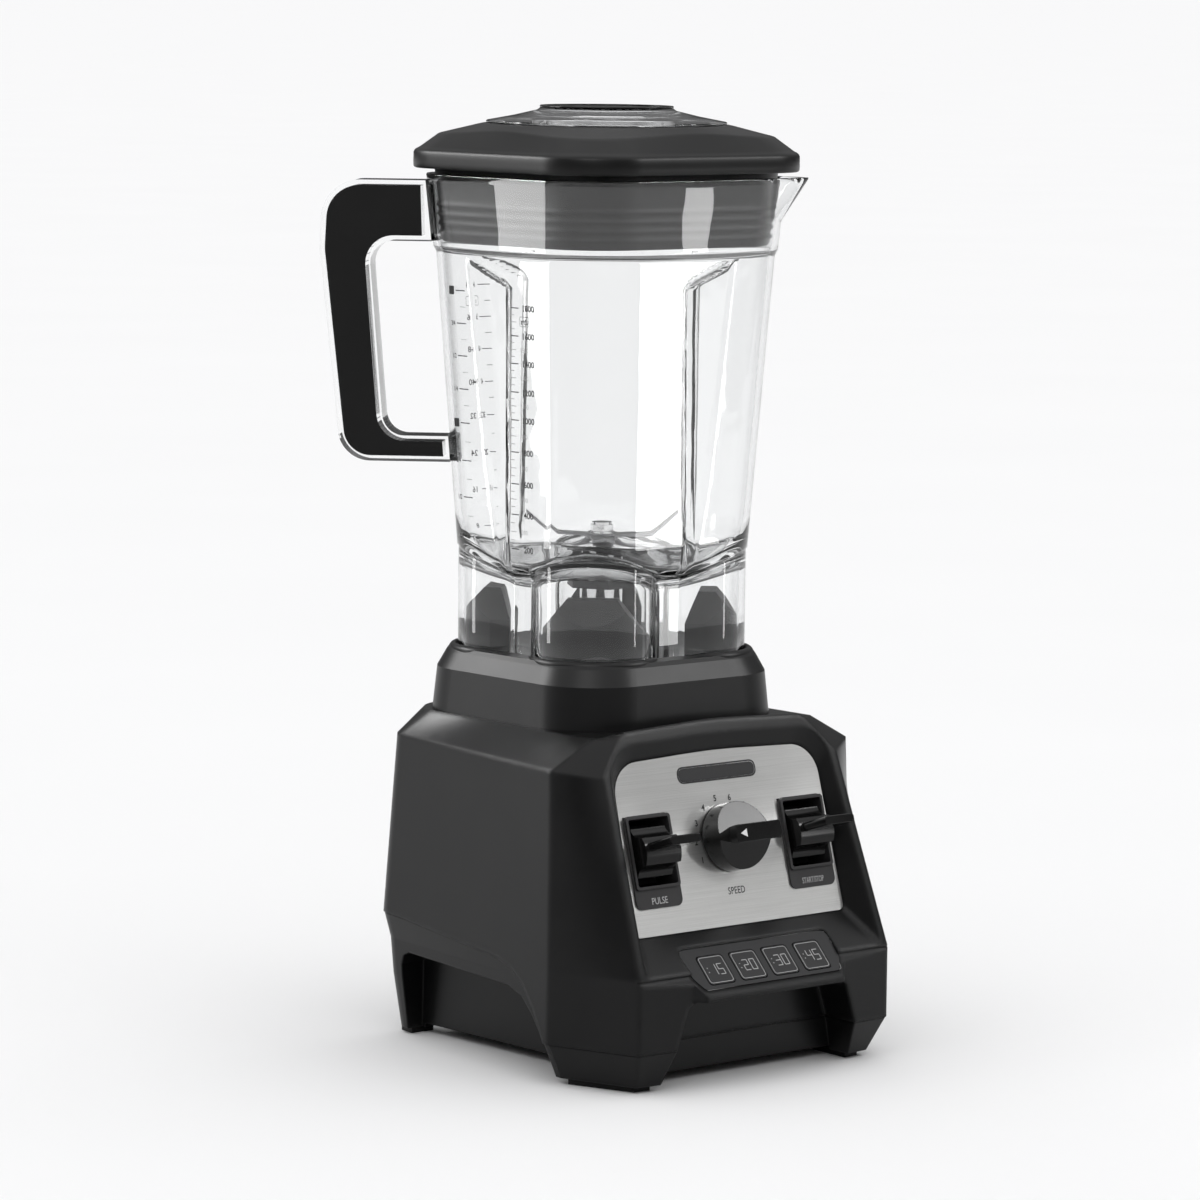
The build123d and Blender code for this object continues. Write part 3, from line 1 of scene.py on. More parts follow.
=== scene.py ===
"""Looks of a countertop blender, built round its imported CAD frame.

Metres, +Z up, on the drive axis. The front with the control plate faces -Y.
"""
import json
import logging
from dataclasses import dataclass, field
from enum import Enum
from math import cos, pi, radians, sin, sqrt, tan
from typing import Callable, Sequence, Union

import bmesh
import bpy
from mathutils import Matrix, Vector


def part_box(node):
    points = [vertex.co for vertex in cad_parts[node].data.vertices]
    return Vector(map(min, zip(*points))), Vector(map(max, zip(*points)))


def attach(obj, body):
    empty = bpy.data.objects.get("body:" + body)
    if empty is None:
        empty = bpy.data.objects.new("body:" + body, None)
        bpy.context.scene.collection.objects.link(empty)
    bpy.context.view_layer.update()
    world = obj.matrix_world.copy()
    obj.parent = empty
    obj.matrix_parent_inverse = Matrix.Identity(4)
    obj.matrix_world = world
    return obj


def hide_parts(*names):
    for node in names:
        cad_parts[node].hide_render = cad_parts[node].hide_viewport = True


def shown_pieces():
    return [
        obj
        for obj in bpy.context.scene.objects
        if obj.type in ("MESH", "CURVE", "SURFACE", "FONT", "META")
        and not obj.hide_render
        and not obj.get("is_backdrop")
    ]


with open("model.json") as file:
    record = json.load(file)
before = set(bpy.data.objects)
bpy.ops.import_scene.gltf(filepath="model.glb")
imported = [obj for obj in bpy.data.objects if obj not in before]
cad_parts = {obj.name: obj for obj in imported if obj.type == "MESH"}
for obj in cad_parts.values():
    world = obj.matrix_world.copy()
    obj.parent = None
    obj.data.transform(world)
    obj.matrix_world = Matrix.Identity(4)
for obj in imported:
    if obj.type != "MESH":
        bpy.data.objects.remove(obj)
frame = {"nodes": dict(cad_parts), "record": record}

LOG = logging.getLogger("blender_looks")
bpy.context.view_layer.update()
MM = 0.001
CAPITAL_SHARE = 0.7
PRINT_LIFT = 0.00006
KEY_RISE = 0.0005
QUARTER_ML = 236.5
EIGHTH_ML = 118.3
OUNCE_ML = 29.57

Colour = tuple[float, float, float]
Number = Union[float, "Value"]


# ---------------------------------------------------------------- shader nodes
def fill_ramp(ramp: bpy.types.ColorRamp, stops: Sequence[tuple[float, Colour]]) -> None:
    """Give a ramp its stops, each a position and a colour."""
    while len(ramp.elements) < len(stops):
        ramp.elements.new(0.5)
    for element, (place, colour) in zip(ramp.elements, stops):
        element.position = place
        element.color = (*colour, 1.0)


class Value:
    """A number that varies over a surface; arithmetic on it adds Math nodes."""

    def __init__(self, recipe: "Recipe", socket: bpy.types.NodeSocket) -> None:
        """Wrap a socket.

        Args:
            recipe: the material the socket belongs to.
            socket: the output socket that carries the number.
        """
        self.recipe = recipe
        self.socket = socket

    def _math(self, operation: str, first: Number, second: Number) -> "Value":
        """Add one Math node.

        Args:
            operation: the node's operation.
            first: its first input.
            second: its second input.

        Returns:
            The node's result.
        """
        return self.recipe.value("ShaderNodeMath", {"operation": operation}, {0: first, 1: second})

    def __add__(self, other: Number) -> "Value":
        """The sum."""
        return self._math("ADD", self, other)

    __radd__ = __add__

    def __mul__(self, other: Number) -> "Value":
        """The product."""
        return self._math("MULTIPLY", self, other)

    __rmul__ = __mul__

    def __sub__(self, other: Number) -> "Value":
        """This less the other."""
        return self._math("SUBTRACT", self, other)

    def __rsub__(self, other: Number) -> "Value":
        """The other less this."""
        return self._math("SUBTRACT", other, self)

    def __truediv__(self, other: Number) -> "Value":
        """This over the other."""
        return self._math("DIVIDE", self, other)

    def __pow__(self, other: Number) -> "Value":
        """This to the power of the other."""
        return self._math("POWER", self, other)

    def within(self, low: float, high: float) -> "Value":
        """The share of the way from low to high, held between 0 and 1."""
        settings = {"clamp": True}
        inputs = {"Value": self, "From Min": low, "From Max": high, "To Min": 0.0, "To Max": 1.0}
        return self.recipe.value("ShaderNodeMapRange", settings, inputs)


class Recipe:
    """One material under construction: its tree, its main shader and short ways to add nodes."""

    def __init__(self, name: str) -> None:
        """Start an empty material.

        Args:
            name: the material's name.
        """
        self.material = bpy.data.materials.new(name)
        self.material.use_nodes = True
        self.tree = self.material.node_tree
        self.tree.nodes.clear()
        self.output = self.tree.nodes.new("ShaderNodeOutputMaterial")
        self.shader = self.tree.nodes.new("ShaderNodeBsdfPrincipled")
        self.tree.links.new(self.shader.outputs[0], self.output.inputs["Surface"])

    def node(self, kind: str, settings: dict, inputs: dict) -> bpy.types.Node:
        """Add a node.

        Args:
            kind: the node's type.
            settings: attributes that are set first; "stops" fills a colour ramp.
            inputs: values or links by socket name or number.

        Returns:
            The node.
        """
        node = self.tree.nodes.new(kind)
        for key, setting in settings.items():
            if key == "stops":
                fill_ramp(node.color_ramp, setting)
            else:
                setattr(node, key, setting)
        for key, value in inputs.items():
            self.join(value, node.inputs[key])
        return node

    def join(self, value: object, socket: bpy.types.NodeSocket) -> None:
        """Set or link one input.

        Args:
            value: a number, a tuple, a Value or an output socket.
            socket: the input.
        """
        if isinstance(value, Value):
            value = value.socket
        if isinstance(value, bpy.types.NodeSocket):
            self.tree.links.new(value, socket)
            return
        if socket.type == "RGBA" and len(value) == 3:
            value = (*value, 1.0)
        socket.default_value = value

    def value(self, kind: str, settings: dict, inputs: dict, output: Union[int, str] = 0) -> Value:
        """Add a node and wrap one of its outputs."""
        return Value(self, self.node(kind, settings, inputs).outputs[output])

    def place(self) -> bpy.types.NodeSocket:
        """Coordinates on the object, in metres."""
        return self.node("ShaderNodeTexCoord", {}, {}).outputs["Object"]

    def stretched(self, scale: Sequence[float]) -> bpy.types.NodeSocket:
        """Object coordinates scaled along each axis."""
        inputs = {0: self.place(), 1: scale}
        return self.node("ShaderNodeVectorMath", {"operation": "MULTIPLY"}, inputs).outputs[0]

    def noise(self, size: float, detail: float = 2.0, rough: float = 0.5,
              vector: bpy.types.NodeSocket | None = None) -> Value:
        """Noise with features of about the given size in metres."""
        where = vector or self.place()
        inputs = {"Vector": where, "Scale": 1.0 / size, "Detail": detail, "Roughness": rough}
        return self.value("ShaderNodeTexNoise", {}, inputs, "Fac")

    def ribs(self, direction: str, pitch: float, distortion: float) -> Value:
        """Even ribs across a direction, pitch metres apart."""
        settings = {"wave_type": "BANDS", "bands_direction": direction}
        inputs = {"Vector": self.place(), "Scale": 0.314 / pitch, "Distortion": distortion}
        return self.value("ShaderNodeTexWave", settings, inputs, "Fac")

    def blend(self, share: Number, first: object, second: object) -> bpy.types.NodeSocket:
        """A colour between two, by share."""
        inputs = {0: share, 6: first, 7: second}
        return self.node("ShaderNodeMix", {"data_type": "RGBA"}, inputs).outputs[2]

    def rounded_edges(self, radius: float) -> bpy.types.NodeSocket:
        """A normal that rounds sharp edges by radius."""
        return self.node("ShaderNodeBevel", {"samples": 4}, {"Radius": radius}).outputs[0]

    def bump(self, height: Number, depth: float,
             normal: bpy.types.NodeSocket | None = None) -> bpy.types.NodeSocket:
        """A normal from a height between 0 and 1 that stands depth metres high."""
        inputs = {"Height": height, "Distance": depth, "Strength": 1.0}
        if normal is not None:
            inputs["Normal"] = normal
        return self.node("ShaderNodeBump", {}, inputs).outputs[0]

    def surface(self, **sockets: object) -> bpy.types.Material:
        """Set the main shader's sockets, named with underscores for spaces.

        Returns:
            The finished material.
        """
        for key, value in sockets.items():
            self.join(value, self.shader.inputs[key.replace("_", " ")])
        return self.material


# ---------------------------------------------------------------- finishes
@dataclass(frozen=True)
class MouldedPlastic:
    """Opaque moulded plastic or rubber with a fine spark-eroded grain."""

    name: str
    colour: Colour
    roughness: float
    grain_size: float = 0.0005
    grain_depth: float = 0.00002
    rounding: float = 0.0006
    specular: float = 0.2
    wear: float = 0.35

    def material(self) -> bpy.types.Material:
        """Make the material: grain, faint cloudy gloss and slightly paler cloudy patches."""
        recipe = Recipe(self.name)
        cloud = recipe.noise(0.035, 3.0)
        grain = recipe.noise(self.grain_size, 1.0)
        smudge = recipe.noise(0.006, 4.0, 0.65)
        paler = tuple(channel * 1.5 + 0.004 for channel in self.colour)
        tone = recipe.blend(cloud.within(0.35, 0.75) * self.wear, self.colour, paler)
        gloss = self.roughness + (cloud - 0.5) * 0.06 + (smudge - 0.5) * 0.05
        edges = recipe.rounded_edges(self.rounding) if self.rounding else None
        return recipe.surface(Base_Color=tone, Roughness=gloss, Specular_IOR_Level=self.specular,
                              Normal=recipe.bump(grain, self.grain_depth, edges))


@dataclass(frozen=True)
class ClearPlastic:
    """Clear plastic that lets lamps through, with faint flow marks and painted shade that darkens the wall
    where it turns edge-on.
    """

    name: str
    tint: Colour = (0.975, 0.98, 0.98)
    # painted shade: the grey the wall's colour is darkened to where it turns edge-on to the view
    edge: Colour = (0.30, 0.31, 0.32)
    roughness: float = 0.012
    index: float = 1.46

    def material(self) -> bpy.types.Material:
        """Make the material: refracting shell whose shadow is almost clear, its colour darkened by painted
        shade where the wall turns edge-on.
        """
        recipe = Recipe(self.name)
        flow = recipe.noise(0.02, 1.0)
        gloss = self.roughness + flow * 0.01
        # painted shade: the colour runs from the clear tint to the dark edge colour as the wall turns
        # edge-on
        edge_on_shade_share = recipe.value("ShaderNodeLayerWeight", {}, {"Blend": 0.5}, "Facing")
        tint = recipe.blend(edge_on_shade_share ** 3.0, self.tint, self.edge)
        recipe.surface(Base_Color=tint, Roughness=gloss, IOR=self.index, Transmission_Weight=1.0,
                       Normal=recipe.bump(flow, 0.00008))
        shadow = recipe.node("ShaderNodeBsdfTransparent", {}, {"Color": self.tint})
        ray = recipe.node("ShaderNodeLightPath", {}, {})
        mix = recipe.node("ShaderNodeMixShader", {}, {0: ray.outputs["Is Shadow Ray"],
                                                      1: recipe.shader.outputs[0], 2: shadow.outputs[0]})
        recipe.tree.links.new(mix.outputs[0], recipe.output.inputs["Surface"])
        return recipe.material


@dataclass(frozen=True)
class BrushedSteel:
    """Stainless sheet brushed along one direction."""

    name: str
    colour: Colour = (0.62, 0.62, 0.61)
    roughness: float = 0.34
    brush: tuple[float, float, float] = (25.0, 9000.0, 9000.0)

    def material(self) -> bpy.types.Material:
        """Make the material: long scratches that vary tone, gloss and height."""
        recipe = Recipe(self.name)
        lines = recipe.noise(1.0, 4.0, 0.7, recipe.stretched(self.brush))
        broad = recipe.noise(0.03, 2.0)
        darker = tuple(channel * 0.72 for channel in self.colour)
        tone = recipe.blend(lines.within(0.3, 0.7), darker, self.colour)
        gloss = self.roughness + (lines - 0.5) * 0.22 + (broad - 0.5) * 0.05
        return recipe.surface(Base_Color=tone, Metallic=1.0, Roughness=gloss, Anisotropic=0.5,
                              Normal=recipe.bump(lines, 0.000006))


@dataclass(frozen=True)
class TurnedMetal:
    """Bare metal, turned, cast or polished."""

    name: str
    colour: Colour
    roughness: float
    cast: float = 0.0
    stain: float = 0.2

    def material(self) -> bpy.types.Material:
        """Make the material: faint staining, tool marks and cast grain."""
        recipe = Recipe(self.name)
        marks = recipe.noise(0.0007, 3.0)
        film = recipe.noise(0.008, 3.0)
        darker = tuple(channel * 0.6 for channel in self.colour)
        tone = recipe.blend(film.within(0.45, 0.8) * self.stain, self.colour, darker)
        gloss = self.roughness + (film - 0.5) * 0.1 + (marks - 0.5) * 0.06
        edges = recipe.rounded_edges(0.0003)
        return recipe.surface(Base_Color=tone, Metallic=1.0, Roughness=gloss,
                              Normal=recipe.bump(marks, 0.000004 + self.cast, edges))


@dataclass(frozen=True)
class Laminations:
    """Stacked electrical sheet, seen as thin level lines."""

    name: str
    pitch: float = 0.0005

    def material(self) -> bpy.types.Material:
        """Make the material: a line for each sheet, with blued patches."""
        recipe = Recipe(self.name)
        sheets = recipe.ribs("Z", self.pitch, 0.0)
        blued = recipe.noise(0.012, 3.0)
        tone = recipe.blend(blued.within(0.4, 0.7), (0.16, 0.15, 0.15), (0.08, 0.10, 0.14))
        return recipe.surface(Base_Color=tone, Metallic=0.9, Roughness=0.45 + sheets * 0.15,
                              Normal=recipe.bump(sheets, 0.00005))


@dataclass(frozen=True)
class WoundWire:
    """Enamelled copper wire wound in layers."""

    name: str
    wire: float = 0.0008

    def material(self) -> bpy.types.Material:
        """Make the material: a rib for each turn under amber varnish, with painted shade in the grooves
        between turns.
        """
        recipe = Recipe(self.name)
        turns = recipe.ribs("DIAGONAL", self.wire, 0.6)
        # painted shade: the copper is darker in the grooves between turns and paler on their crests
        tone = recipe.blend(turns, (0.24, 0.07, 0.02), (0.62, 0.26, 0.10))
        return recipe.surface(Base_Color=tone, Metallic=0.75, Roughness=0.3 + turns * 0.1, Coat_Weight=0.5,
                              Normal=recipe.bump(turns, 0.0002))


@dataclass(frozen=True)
class CircuitBoard:
    """Glass-fibre board under green lacquer."""

    name: str

    def material(self) -> bpy.types.Material:
        """Make the material: weave and paler copper tracks under the lacquer."""
        recipe = Recipe(self.name)
        cells = recipe.value("ShaderNodeTexVoronoi", {"distance": "MANHATTAN"},
                             {"Vector": recipe.place(), "Scale": 260.0}, "Distance")
        tracks = cells.within(0.36, 0.40)
        tone = recipe.blend(tracks, (0.01, 0.09, 0.035), (0.02, 0.17, 0.06))
        return recipe.surface(Base_Color=tone, Roughness=0.32 - tracks * 0.08,
                              Normal=recipe.bump(tracks, 0.00004))


@dataclass(frozen=True)
class PadPrint:
    """Thin printed ink with slightly uneven cover."""

    name: str
    colour: Colour
    roughness: float = 0.55

    def material(self) -> bpy.types.Material:
        """Make the material: matt ink, a little thinner in spots."""
        recipe = Recipe(self.name)
        cover = recipe.noise(0.0012, 3.0)
        thin = tuple(channel * 0.85 + 0.015 for channel in self.colour)
        tone = recipe.blend(cover.within(0.55, 0.8) * 0.6, self.colour, thin)
        return recipe.surface(Base_Color=tone, Roughness=self.roughness + (cover - 0.5) * 0.1,
                              Specular_IOR_Level=0.3)


class Look(Enum):
    """Every finish of the blender."""

    HOUSING = MouldedPlastic("housing_satin_black", (0.0030, 0.0030, 0.0032), 0.30, rounding=0.0032)
    PAN = MouldedPlastic("pan_satin_black", (0.0028, 0.0028, 0.003), 0.36, rounding=0.0016)
    COLLAR = MouldedPlastic("collar_soft_black", (0.0040, 0.0040, 0.0042), 0.36, 0.0007, 0.000004, 0.0)
    LID = MouldedPlastic("lid_rubber_black", (0.0026, 0.0026, 0.0026), 0.36, 0.0009, 0.00001, 0.0012)
    RUBBER = MouldedPlastic("rubber_black", (0.008, 0.008, 0.008), 0.60, 0.0006, 0.00003)
    GRIP = MouldedPlastic("grip_soft_black", (0.0026, 0.0026, 0.0026), 0.44, 0.0006, 0.00002)
    CONTROL = MouldedPlastic("control_gloss_black", (0.004, 0.004, 0.004), 0.16, 0.0004, 0.000002, 0.0005)
    LABEL = MouldedPlastic("switch_label_grey", (0.030, 0.029, 0.030), 0.42, 0.0004, 0.00001, 0.0004)
    KEYPAD = MouldedPlastic("keypad_film_black", (0.017, 0.017, 0.018), 0.45, 0.0004, 0.000015, 0.0003)
    INNER = MouldedPlastic("inner_plastic_black", (0.02, 0.02, 0.021), 0.5)
    CARBON = MouldedPlastic("brush_carbon", (0.03, 0.03, 0.032), 0.7)
    CLEAR = ClearPlastic("jar_clear_plastic")
    PLATE = BrushedSteel("plate_brushed_steel")
    POLISHED = TurnedMetal("polished_steel", (0.66, 0.66, 0.65), 0.14)
    PLAIN = TurnedMetal("plain_steel", (0.50, 0.50, 0.50), 0.34)
    BLADE = TurnedMetal("blade_steel", (0.24, 0.24, 0.245), 0.30)
    CAST = TurnedMetal("cast_bracket", (0.45, 0.45, 0.46), 0.5, 0.00003)
    BRASS = TurnedMetal("brass_tube", (0.68, 0.47, 0.18), 0.3)
    STACK = Laminations("motor_laminations")
    COPPER = WoundWire("copper_windings")
    BOARD = CircuitBoard("green_board")
    DARK_INK = PadPrint("dark_print", (0.015, 0.015, 0.016))
    PALE_INK = PadPrint("pale_print", (0.42, 0.42, 0.42))
    WHITE_INK = PadPrint("white_print", (0.75, 0.75, 0.75))

    def material(self) -> bpy.types.Material:
        """The finish's material, made once."""
        found = bpy.data.materials.get(self.value.name)
        return found or self.value.material()


SLOT_LOOKS: dict[str, Look] = {
    "satin_black": Look.HOUSING, "soft_black": Look.COLLAR, "lid_rubber": Look.LID,
    "black_rubber": Look.RUBBER, "brushed_plate": Look.PLATE, "switch_label": Look.LABEL,
    "gloss_black": Look.CONTROL, "grip_black": Look.GRIP, "keypad": Look.KEYPAD,
    "inner_plastic": Look.INNER, "clear_plastic": Look.CLEAR, "polished_steel": Look.POLISHED,
    "plain_steel": Look.PLAIN, "lamination_steel": Look.STACK, "copper_wire": Look.COPPER,
    "cast_metal": Look.CAST, "brass_parts": Look.BRASS, "carbon": Look.CARBON,
    "circuit_board": Look.BOARD,
}


def paint(piece: bpy.types.Object, look: Look) -> None:
    """Give a piece one finish in every slot."""
    piece.data.materials.clear()
    piece.data.materials.append(look.material())


def dress_cad() -> None:
    """Give every CAD node the finish of its slot in the record."""
    for part in frame["record"]["subparts"]:
        paint(frame["nodes"][part["node"]], SLOT_LOOKS[part["material_slot"]])
    paint(frame["nodes"]["bottom_pan"], Look.PAN)
    for blade in ("upper_blade", "lower_blade"):
        paint(frame["nodes"][blade], Look.BLADE)


# ---------------------------------------------------------------- mesh building
@dataclass(frozen=True)
class Face:
    """A flat face of the blender that prints and fittings lie on."""

    origin: Vector
    across: Vector
    up: Vector

    @property
    def out(self) -> Vector:
        """The face's outward normal."""
        return self.across.cross(self.up).normalized()

    def at(self, x: float, v: float, lift: float = 0.0) -> Vector:
        """The point x across and v up the face, lift metres off it."""
        return self.origin + self.across * x + self.up * v + self.out * lift


def leaning_face(y: float, z: float, lean: float) -> Face:
    """A face through (0, y, z) towards the front that leans back by lean degrees from upright."""
    angle = radians(lean)
    return Face(Vector((0, y, z)), Vector((1, 0, 0)), Vector((0, sin(angle), cos(angle))))


def piece_from(name: str, mesh: bmesh.types.BMesh, look: Look, body: str,
               smooth: bool = True) -> bpy.types.Object:
    """Turn a bmesh into a piece that rides on a body.

    Args:
        name: the piece's name.
        mesh: the shape, which is freed.
        look: its finish.
        body: the CAD body it moves with.
        smooth: whether its faces are shaded smooth.

    Returns:
        The piece.
    """
    data = bpy.data.meshes.new(name)
    mesh.to_mesh(data)
    mesh.free()
    for polygon in data.polygons:
        polygon.use_smooth = smooth
    piece = bpy.data.objects.new(name, data)
    bpy.context.scene.collection.objects.link(piece)
    paint(piece, look)
    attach(piece, body)
    return piece


def strip_along(points: Sequence[tuple[float, float]], width: float, closed: bool = True) -> list[tuple]:
    """Pairs of points either side of a line, half a width away.

    Args:
        points: the line's points on a face.
        width: the strip's width.
        closed: whether the line joins up.

    Returns:
        For each point, its left and its right neighbour.
    """
    count = len(points)
    pairs = []
    for index in range(count):
        before = Vector(points[index - 1 if closed or index else index])
        after = Vector(points[(index + 1) % count if closed or index < count - 1 else index])
        run = (after - before).normalized() * (width / 2)
        here = Vector(points[index])
        pairs.append((here + Vector((-run.y, run.x)), here + Vector((run.y, -run.x))))
    return pairs


def rounded_loop(corners: Sequence[tuple[float, float]], radius: float, steps: int = 6) -> list[tuple]:
    """A closed loop through corners, each cut by an arc of the given radius."""
    loop = []
    count = len(corners)
    for index in range(count):
        here = Vector(corners[index])
        back = (Vector(corners[index - 1]) - here).normalized()
        ahead = (Vector(corners[(index + 1) % count]) - here).normalized()
        half = back.angle(ahead) / 2
        reach = radius / tan(half)
        start, end = here + back * reach, here + ahead * reach
        for step in range(steps + 1):
            share = step / steps
            near = start.lerp(here, share).lerp(here.lerp(end, share), share)
            loop.append(tuple(near))
    return loop


def box_loop(x: float, v: float, half: float, rise: float, radius: float, steps: int = 6) -> list[tuple]:
    """A rounded box on a face.

    Args:
        x: its middle across the face.
        v: its middle up the face.
        half: half its width.
        rise: half its height.
        radius: its corner radius.
        steps: steps in each corner.

    Returns:
        Its loop of points.
    """
    corners = [(x - half, v - rise), (x + half, v - rise), (x + half, v + rise), (x - half, v + rise)]
    return rounded_loop(corners, radius, steps)


@dataclass
class Prints:
    """Everything printed in one ink on one body, joined into one thin piece."""

    name: str
    look: Look
    slot: str
    body: str
    lift: float = PRINT_LIFT
    mesh: bmesh.types.BMesh = field(default_factory=bmesh.new)

    def strip(self, face: Face, points: Sequence[tuple[float, float]], width: float,
              closed: bool = True) -> None:
        """Draw a line of even width.

        Args:
            face: the face it lies on.
            points: the line, on the face.
            width: its width.
            closed: whether it joins up.
        """
        pairs = strip_along(points, width, closed)
        rails = [[self.mesh.verts.new(face.at(p.x, p.y, self.lift)) for p in pair] for pair in pairs]
        last = len(rails) if closed else len(rails) - 1
        for index in range(last):
            a, b = rails[index], rails[(index + 1) % len(rails)]
            self.mesh.faces.new((a[0], a[1], b[1], b[0]))

    def patch(self, face: Face, loop: Sequence[tuple[float, float]]) -> None:
        """Fill a convex loop."""
        self.mesh.faces.new([self.mesh.verts.new(face.at(x, v, self.lift)) for x, v in loop])

    def words(self, face: Face, text: str, x: float, v: float, height: float, squeeze: float = 1.0,
              spacing: float = 1.0, bold: float = 0.0) -> None:
        """Set a word or number, centred on a point.

        Args:
            face: the face it lies on.
            text: what it says.
            x: its middle across the face.
            v: its middle up the face.
            height: the height of its capitals.
            squeeze: how wide it is against how the letters are drawn.
            spacing: distance between letters against how they are drawn.
            bold: how much each stroke is fattened.
        """
        curve = bpy.data.curves.new("lettering", "FONT")
        curve.body = text
        curve.size = height / CAPITAL_SHARE
        curve.space_character = spacing
        curve.offset = bold
        curve.align_x = "CENTER"
        curve.resolution_u = 3
        carrier = bpy.data.objects.new("lettering", curve)
        bpy.context.scene.collection.objects.link(carrier)
        bpy.context.view_layer.update()
        data = bpy.data.meshes.new_from_object(carrier)
        placed = []
        for vertex in data.vertices:
            across, up = x + vertex.co.x * squeeze, v + vertex.co.y - height / 2
            placed.append(self.mesh.verts.new(face.at(across, up, self.lift)))
        for polygon in data.polygons:
            self.mesh.faces.new([placed[index] for index in polygon.vertices])
        bpy.data.objects.remove(carrier)
        bpy.data.curves.remove(curve)
        bpy.data.meshes.remove(data)

    def finish(self) -> bpy.types.Object:
        """Make the piece."""
        bmesh.ops.recalc_face_normals(self.mesh, faces=self.mesh.faces)
        return piece_from(self.name, self.mesh, self.look, self.body, smooth=False)


# ---------------------------------------------------------------- shapes round the drive axis
Row = Callable[[float], tuple[float, float]]


def held(share: float) -> float:
    """A share held between 0 and 1."""
    return min(max(share, 0.0), 1.0)


def off_middle(angle: float) -> float:
    """Signed angle from the middle of the nearest flat face."""
    return (angle + pi / 4) % (pi / 2) - pi / 4


def square_reach(angle: float, half: float, corner: float) -> float:
    """Distance from the axis to a rounded square.

    Args:
        angle: the direction, in radians.
        half: half the square's width.
        corner: its corner radius.

    Returns:
        The distance.
    """
    turn = abs(off_middle(angle))
    flat = half / cos(turn)
    centre = half - corner
    if flat * sin(turn) <= centre:
        return flat
    aside = centre * (cos(turn) - sin(turn))
    return centre * (cos(turn) + sin(turn)) + sqrt(corner * corner - aside * aside)


def bowed_reach(angle: float, half: float, corner: float, bow: float) -> float:
    """Distance from the axis to a rounded square whose sides stand out by bow at their middles."""
    reach = square_reach(angle, half, corner)
    share = min(abs(reach * sin(off_middle(angle))) / (half - corner), 1.0)
    return reach + bow * (1 - share * share)


def lobed_reach(angle: float, half: float, corner: float, core: float) -> float:
    """Distance from the axis to four round lobes round a square core, softly joined."""
    turn = abs(off_middle(angle))
    flat = core / cos(turn)
    centre = half - corner
    aside = centre * (cos(turn) - sin(turn))
    if abs(aside) >= corner:
        return flat
    lobe = centre * (cos(turn) + sin(turn)) + sqrt(corner * corner - aside * aside)
    if abs(aside) < corner / 2:
        return lobe
    gap, soft = abs(flat - lobe), 2.5 * MM
    return max(flat, lobe) + max(soft - gap, 0.0) ** 2 / (4 * soft)


def turned_shell(rows: Sequence[Row], columns: int) -> bmesh.types.BMesh:
    """A closed shell swept round the axis, its profile a loop of rows.

    Args:
        rows: for each point of the profile, a function from direction to (reach, height).
        columns: steps round the axis.

    Returns:
        The shell.
    """
    mesh = bmesh.new()
    grid = []
    for row in rows:
        line = []
        for column in range(columns):
            angle = 2 * pi * column / columns
            reach, height = row(angle)
            line.append(mesh.verts.new((reach * cos(angle), reach * sin(angle), height)))
        grid.append(line)
    for index, line in enumerate(grid):
        above = grid[(index + 1) % len(grid)]
        for column in range(columns):
            after = (column + 1) % columns
            mesh.faces.new((line[column], line[after], above[after], above[column]))
    bmesh.ops.recalc_face_normals(mesh, faces=mesh.faces)
    return mesh


